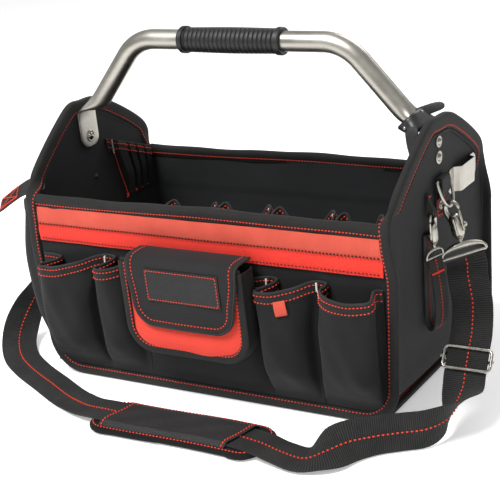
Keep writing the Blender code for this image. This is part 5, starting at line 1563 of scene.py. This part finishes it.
def snap_hook(prefix, origin, up, plane, eye_along, eye_half, size):
    """Swivel snap hook in four pieces: curved rod, barrel, sliding gate with its thumb stud, and eye."""
    w = unit(np.array(up, float))
    u = np.array(plane, float)
    u = unit(u - u @ w * w)
    v = np.cross(w, u)
    origin = np.array(origin, float)

    def at(a, b, c=0.0):
        return origin + size * (a * u + c * v + b * w)

    bend, nodes = 0.0088, f"{prefix}_hook"
    rod = [at(-0.0030, -0.0220), at(-0.0046, -0.0175), at(-0.0068, -0.0115), at(-bend, -0.0058), at(-bend, 0)]
    for i in range(1, 17):
        a = math.pi - i * math.radians(12)
        rod.append(at(bend * math.cos(a), bend * math.sin(a)))
    rod = even(curve(np.array(rod), 3), 0.0012 * size)
    share = np.linspace(0, 1, len(rod))
    fat = np.interp(share, [0, 0.3, 0.6, 0.90, 0.97, 1], [1.45, 1.35, 1.12, 0.95, 0.75, 0.35])
    base = oval(0.0027 * size, 0.0023 * size, 16, 0.85)
    pieces = [sweep(f"{prefix}_hook_curve", rod, v, fat[:, None, None] * base[None], "nickel",
        replaces=[f"{nodes}_body"])]
    stations = ((-0.0395, 0.0030), (-0.0388, 0.0046), (-0.0370, 0.0056), (-0.0362, 0.0052), (-0.0350, 0.0066),
        (-0.0325, 0.0074), (-0.0250, 0.0076),
                (-0.0160, 0.0072), (-0.0110, 0.0064), (-0.0094, 0.0052), (-0.0084, 0.0055), (-0.0074, 0.0046),
                (-0.0068, 0.0030))
    barrel = np.array([at(0, b) for b, _ in stations])
    ring = oval(1.0, 0.82, 24, 0.62)
    sections = np.array([size * r * ring for _, r in stations])
    pieces.append(sweep(f"{prefix}_hook_barrel", barrel, u, sections, "nickel", sharp=50))
    for face in (1, -1):
        groove = [at(0.0, b, face * 0.0062) for b in np.linspace(-0.0335, -0.0125, 8)]
        pieces.append(sweep(f"{prefix}_hook_ridge_{'a' if face > 0 else 'b'}", groove, u,
            oval(0.0022 * size, 0.0007 * size, 12, 0.8), "nickel"))
    gate = {"body": f"{prefix}_gate"}
    bolt = np.array([at(bend, b) for b in (-0.0300, -0.0294, -0.0220, -0.0120, -0.0045, -0.0032, -0.0027)])
    fat = np.array([0.5, 1, 1, 1, 1, 0.8, 0.35])
    base = oval(0.0017 * size, 0.0017 * size, 14, 1.0)
    pieces.append(sweep(f"{prefix}_gate_bolt", bolt, u, fat[:, None, None] * base[None], "nickel",
        replaces=[f"{nodes}_gate"], **gate))
    stud = [(0.0, 0.0014), (0.0018, 0.0014), (0.0022, 0.0026), (0.0030, 0.0029), (0.0036, 0.0025),
        (0.0042, 0.0029), (0.0050, 0.0024), (0.0054, 0.0006)]
    pieces.append(turned(f"{prefix}_gate_stud", [(size * a, size * r) for a, r in stud], at(bend, -0.0220), u,
        "nickel", 24, **gate))
    e = np.array(eye_along, float)
    e = unit(e - e @ w * w)
    bar, arch = -EYE_BAR, 0.0125
    loop = [at(0, bar) + s * eye_half * e for s in np.linspace(-1, 1, 9)]
    for a in np.linspace(0, np.pi, 24)[1:-1]:
        loop.append(at(0, bar + arch * np.sin(a) ** 0.7) + eye_half * np.cos(a) * e)
    loop = looped(loop, 0.0024)
    lift = np.clip(((loop - at(0, bar)) @ w) / arch, 0, 1)
    wire = (1 + 1.1 * lift**5)[:, None, None] * oval(0.0022 * size, 0.0020 * size, 14, 1.0)[None]
    pieces.append(sweep(f"{prefix}_eye_wire", loop, np.cross(e, w), wire, "nickel", closed=True,
        replaces=[f"{nodes}_eye"]))
    stem = [(-0.0496, 0.0010), (-0.0490, 0.0030), (-0.0470, 0.0034), (-0.0455, 0.0024), (-0.0420, 0.0024),
        (-0.0408, 0.0034), (-0.0398, 0.0034), (-0.0394, 0.0020)]
    pieces.append(turned(f"{prefix}_eye_stem", [(size * a, size * r) for a, r in stem], origin, w, "nickel",
        24))
    return pieces


def build_slider():
    point, across = (np.array(part, float) for part in STRAP_ROUTE[SLIDER_AT])
    ahead = unit(np.array(STRAP_ROUTE[SLIDER_AT + 1][0]) - np.array(STRAP_ROUTE[SLIDER_AT - 1][0]))
    across = unit(across - across @ ahead * ahead)
    out = np.cross(ahead, across)
    out = out * np.sign(out[0])
    half_w, half_h, lift, bend = STRAP_WIDTH / 2 + 0.0036, 0.0145, 0.0042, 0.0055
    loop = []
    for sx, sy, turn in ((1, 1, 0), (-1, 1, 1), (-1, -1, 2), (1, -1, 3)):
        for a in np.linspace(0, np.pi / 2, 6) + turn * np.pi / 2:
            loop.append((sx * (half_w - bend) + bend * np.cos(a), sy * (half_h - bend) + bend * np.sin(a)))
    loop = np.array([point + a * across + b * ahead + lift * out for a, b in loop])
    loop = even(np.vstack([loop, loop[:1]]), 0.0024)[:-1]
    frame_piece = sweep("slider_frame", loop, out, oval(0.0021, 0.0020, 14, 1.0), "nickel", closed=True,
        replaces=["strap_slider"])
    reach = half_w + 0.0034
    bar = [(-reach, lift), (-half_w + 0.001, lift - 0.0006), (-half_w + 0.0035, -0.2 * lift),
        (-half_w + 0.0075, -lift), (0, -lift)]
    bar += [(-a, b) for a, b in bar[3::-1]]
    bar_path = curve(np.array([point + a * across + b * out for a, b in bar]), 4)
    return [frame_piece, sweep("slider_bar", bar_path, ahead, oval(0.0018, 0.0018, 12, 1.0), "nickel")]


# ---------------------------------------------------------------- shoulder pad

PAD_MIDDLE, PAD_HALF = (0.014, -0.2465), (0.130, 0.0425)


def pad_outline(inset=0.0, step=0.006):
    """Rounded outline of the pad, slightly waved along its long sides."""
    half_x, half_y = PAD_HALF[0] - inset, PAD_HALF[1] - inset
    bend = 0.030 - inset
    loop = []
    for sx, sy, turn in ((1, 1, 0), (-1, 1, 1), (-1, -1, 2), (1, -1, 3)):
        for a in np.linspace(0, np.pi / 2, 10) + turn * np.pi / 2:
            loop.append((sx * (half_x - bend) + bend * np.cos(a), sy * (half_y - bend) + bend * np.sin(a), 0))
    run = looped(loop, step)
    run[:, 1] += 0.0016 * np.sin(run[:, 0] * 26.0 + 0.6)
    return run[:, :2] + np.array(PAD_MIDDLE)


def build_pad():
    """Padded underside of the shoulder strap: a thin body blown up by cloth simulation, then stitched."""
    low, high = 0.0008, 0.0090
    outline = pad_outline(0.0006)
    count = len(outline)
    levels = ((low, 0.0016), (low + 0.0012, 0.0), (high - 0.0014, 0.0), (high, 0.0016))
    points = []
    for z, inset in levels:
        spread = (outline - np.array(PAD_MIDDLE)) * (1 - inset / 0.04)
        points += [(x + PAD_MIDDLE[0], y + PAD_MIDDLE[1], z) for x, y in spread]
    faces = [tuple(range(count)), tuple(range(3 * count, 4 * count))]
    for level in range(3):
        for j in range(count):
            m = (j + 1) % count
            faces.append((level * count + j, level * count + m, (level + 1) * count + m,
                (level + 1) * count + j))
    pad = add("pad_cushion", points, faces, "pocket", replaces=["shoulder_pad"])
    remesh = pad.modifiers.new("even", "REMESH")
    remesh.mode = "VOXEL"
    remesh.voxel_size = 0.004
    apply_modifiers(pad)
    before = np.array([vertex.co[:] for vertex in pad.data.vertices])
    cloth_modifier = pad.modifiers.new("swell", "CLOTH")
    settings = cloth_modifier.settings
    settings.quality = 5
    settings.use_pressure = True
    settings.uniform_pressure_force = 4.0
    settings.effector_weights.gravity = 0.0
    cloth_modifier.point_cache.frame_start = 1
    cloth_modifier.point_cache.frame_end = 20
    scene = bpy.context.scene
    for number in range(1, 21):
        scene.frame_set(number)
    apply_modifiers(pad)
    scene.frame_set(1)
    after = np.array([vertex.co[:] for vertex in pad.data.vertices])
    move = after - before
    size = np.linalg.norm(move, axis=1, keepdims=True)
    after = before + move * np.minimum(1, 0.0030 / np.maximum(size, 1e-9))
    beside = np.abs(after[:, 1] - PAD_MIDDLE[1])
    ceiling = 0.0088 + 0.0008 * smooth((beside - 0.027) / 0.008)
    after[:, 2] = np.clip(after[:, 2], 0.0006, ceiling)
    pad.data.vertices.foreach_set("co", after.ravel())
    finer = pad.modifiers.new("finer", "SUBSURF")
    finer.levels = finer.render_levels = 1
    apply_modifiers(pad)
    pad.data.shade_smooth()

    ring = pad_outline(0.0085, 0.003)
    red.row(np.column_stack([ring, np.full(len(ring), 0.0094)]), (0, 0, 1), 0.0050, 0.0032, 0.0008, 0.0005)
    return pad


def build_sleeve():
    """Label sleeve that holds the strap on the pad, left blank."""
    first, last, lean = -0.082, 0.103, 0.016
    t = np.linspace(-1, 1, 30)
    s = np.linspace(0, 1, 60)
    rows = []
    for u in s:
        x = first + (last - first) * u + lean * t * 0.5
        y = PAD_MIDDLE[1] + 0.0315 * t + 0.0016 * np.sin((x - PAD_MIDDLE[0]) * 26.0 + 0.6)
        crown = 0.0052 * smooth((1 - np.abs(t)) / 0.26)
        ripple = 0.0004 * np.sin(41.0 * x + 3.0 * t) + 0.0003 * np.sin(97.0 * x - 5.0 * t)
        rows.append(np.stack([x, y, 0.0098 + crown + ripple * (1 - t**4)], axis=1))
    grid = np.array(rows)
    sleeve = shell("pad_sleeve", grid, grid - np.array((0, 0, 0.0009)), "satin")
    for row in (grid[1], grid[-2]):
        red.row(row + np.array((0, 0, 0.0002)), (0, 0, 1), 0.0044, 0.0032, 0.0009, 0.0006)
    for name, row in (("left", grid[0]), ("right", grid[-1])):
        sweep(f"pad_sleeve_{name}_edge", row - np.array((0, 0, 0.0004)), (1, 0, 0),
            oval(0.0012, 0.0008, 10, 1.0), "hem")
    return sleeve


def apply_modifiers(obj):
    graph = bpy.context.evaluated_depsgraph_get()
    mesh = bpy.data.meshes.new_from_object(obj.evaluated_get(graph))
    obj.modifiers.clear()
    old = obj.data
    obj.data = mesh
    mesh.name = obj.name
    bpy.data.meshes.remove(old)


build_handle()
build_rivets()
build_clip()
build_rings()
strap_hooks = []
for side, prefix in ((1, "right"), (-1, "left")):
    hook_start, hook_up, _ = hook_frame(side)
    facing = FACING if side > 0 else (0, 1, 0)
    strap_hooks += snap_hook(prefix, hook_start, hook_up, (side, 0, 0), facing, STRAP_WIDTH / 2 + 0.0035, 1.0)
tape_hook = snap_hook("tape", (0.2752, TAPE_Y, 0.2362 + 0.0008 - 0.0088 * 0.8), (0, 0, 1), (0, -1, 0),
    (0.30, 0.95, 0), TAPE_WIDTH / 2 + 0.0022, 0.8)
slider = build_slider()
pad = build_pad()
sleeve = build_sleeve()


def build_tape_tab():
    """Narrow folded tab that the tape hook hangs from."""
    centre_x, centre_z, radius = 0.2752, 0.2362, 0.0048
    path = [(end_x(0.262) + 0.0010, 0.262), (end_x(0.252) + 0.0014, 0.252), (centre_x - radius, 0.2400)]
    for i in range(1, 8):
        a = math.pi * (1 + i / 8)
        path.append((centre_x + radius * math.cos(a), centre_z + radius * math.sin(a)))
    path += [(centre_x + radius, 0.2400), (end_x(0.252) + 0.0046, 0.252), (end_x(0.262) + 0.0034, 0.262)]
    rows = curve([(x, TAPE_Y, z) for x, z in path], 4)
    sweep("tape_tab_webbing", rows, (0, 1, 0), strap_section(0.0080, 0.0014), "webbing", replaces=["tape_tab"])
    red.row([(end_x(0.260) + 0.0044, TAPE_Y - 0.003, 0.2595), (end_x(0.260) + 0.0044, TAPE_Y + 0.003, 0.2595)],
        (1, 0, 0), 0.0030, 0.0026, 0.0008, 0.0005)


build_tape_tab()

# ---------------------------------------------------------------- cords

red.lay("red_stitching")
dark.lay("dark_stitching", "dark_thread")
white.lay("white_bartacks", "white_thread")
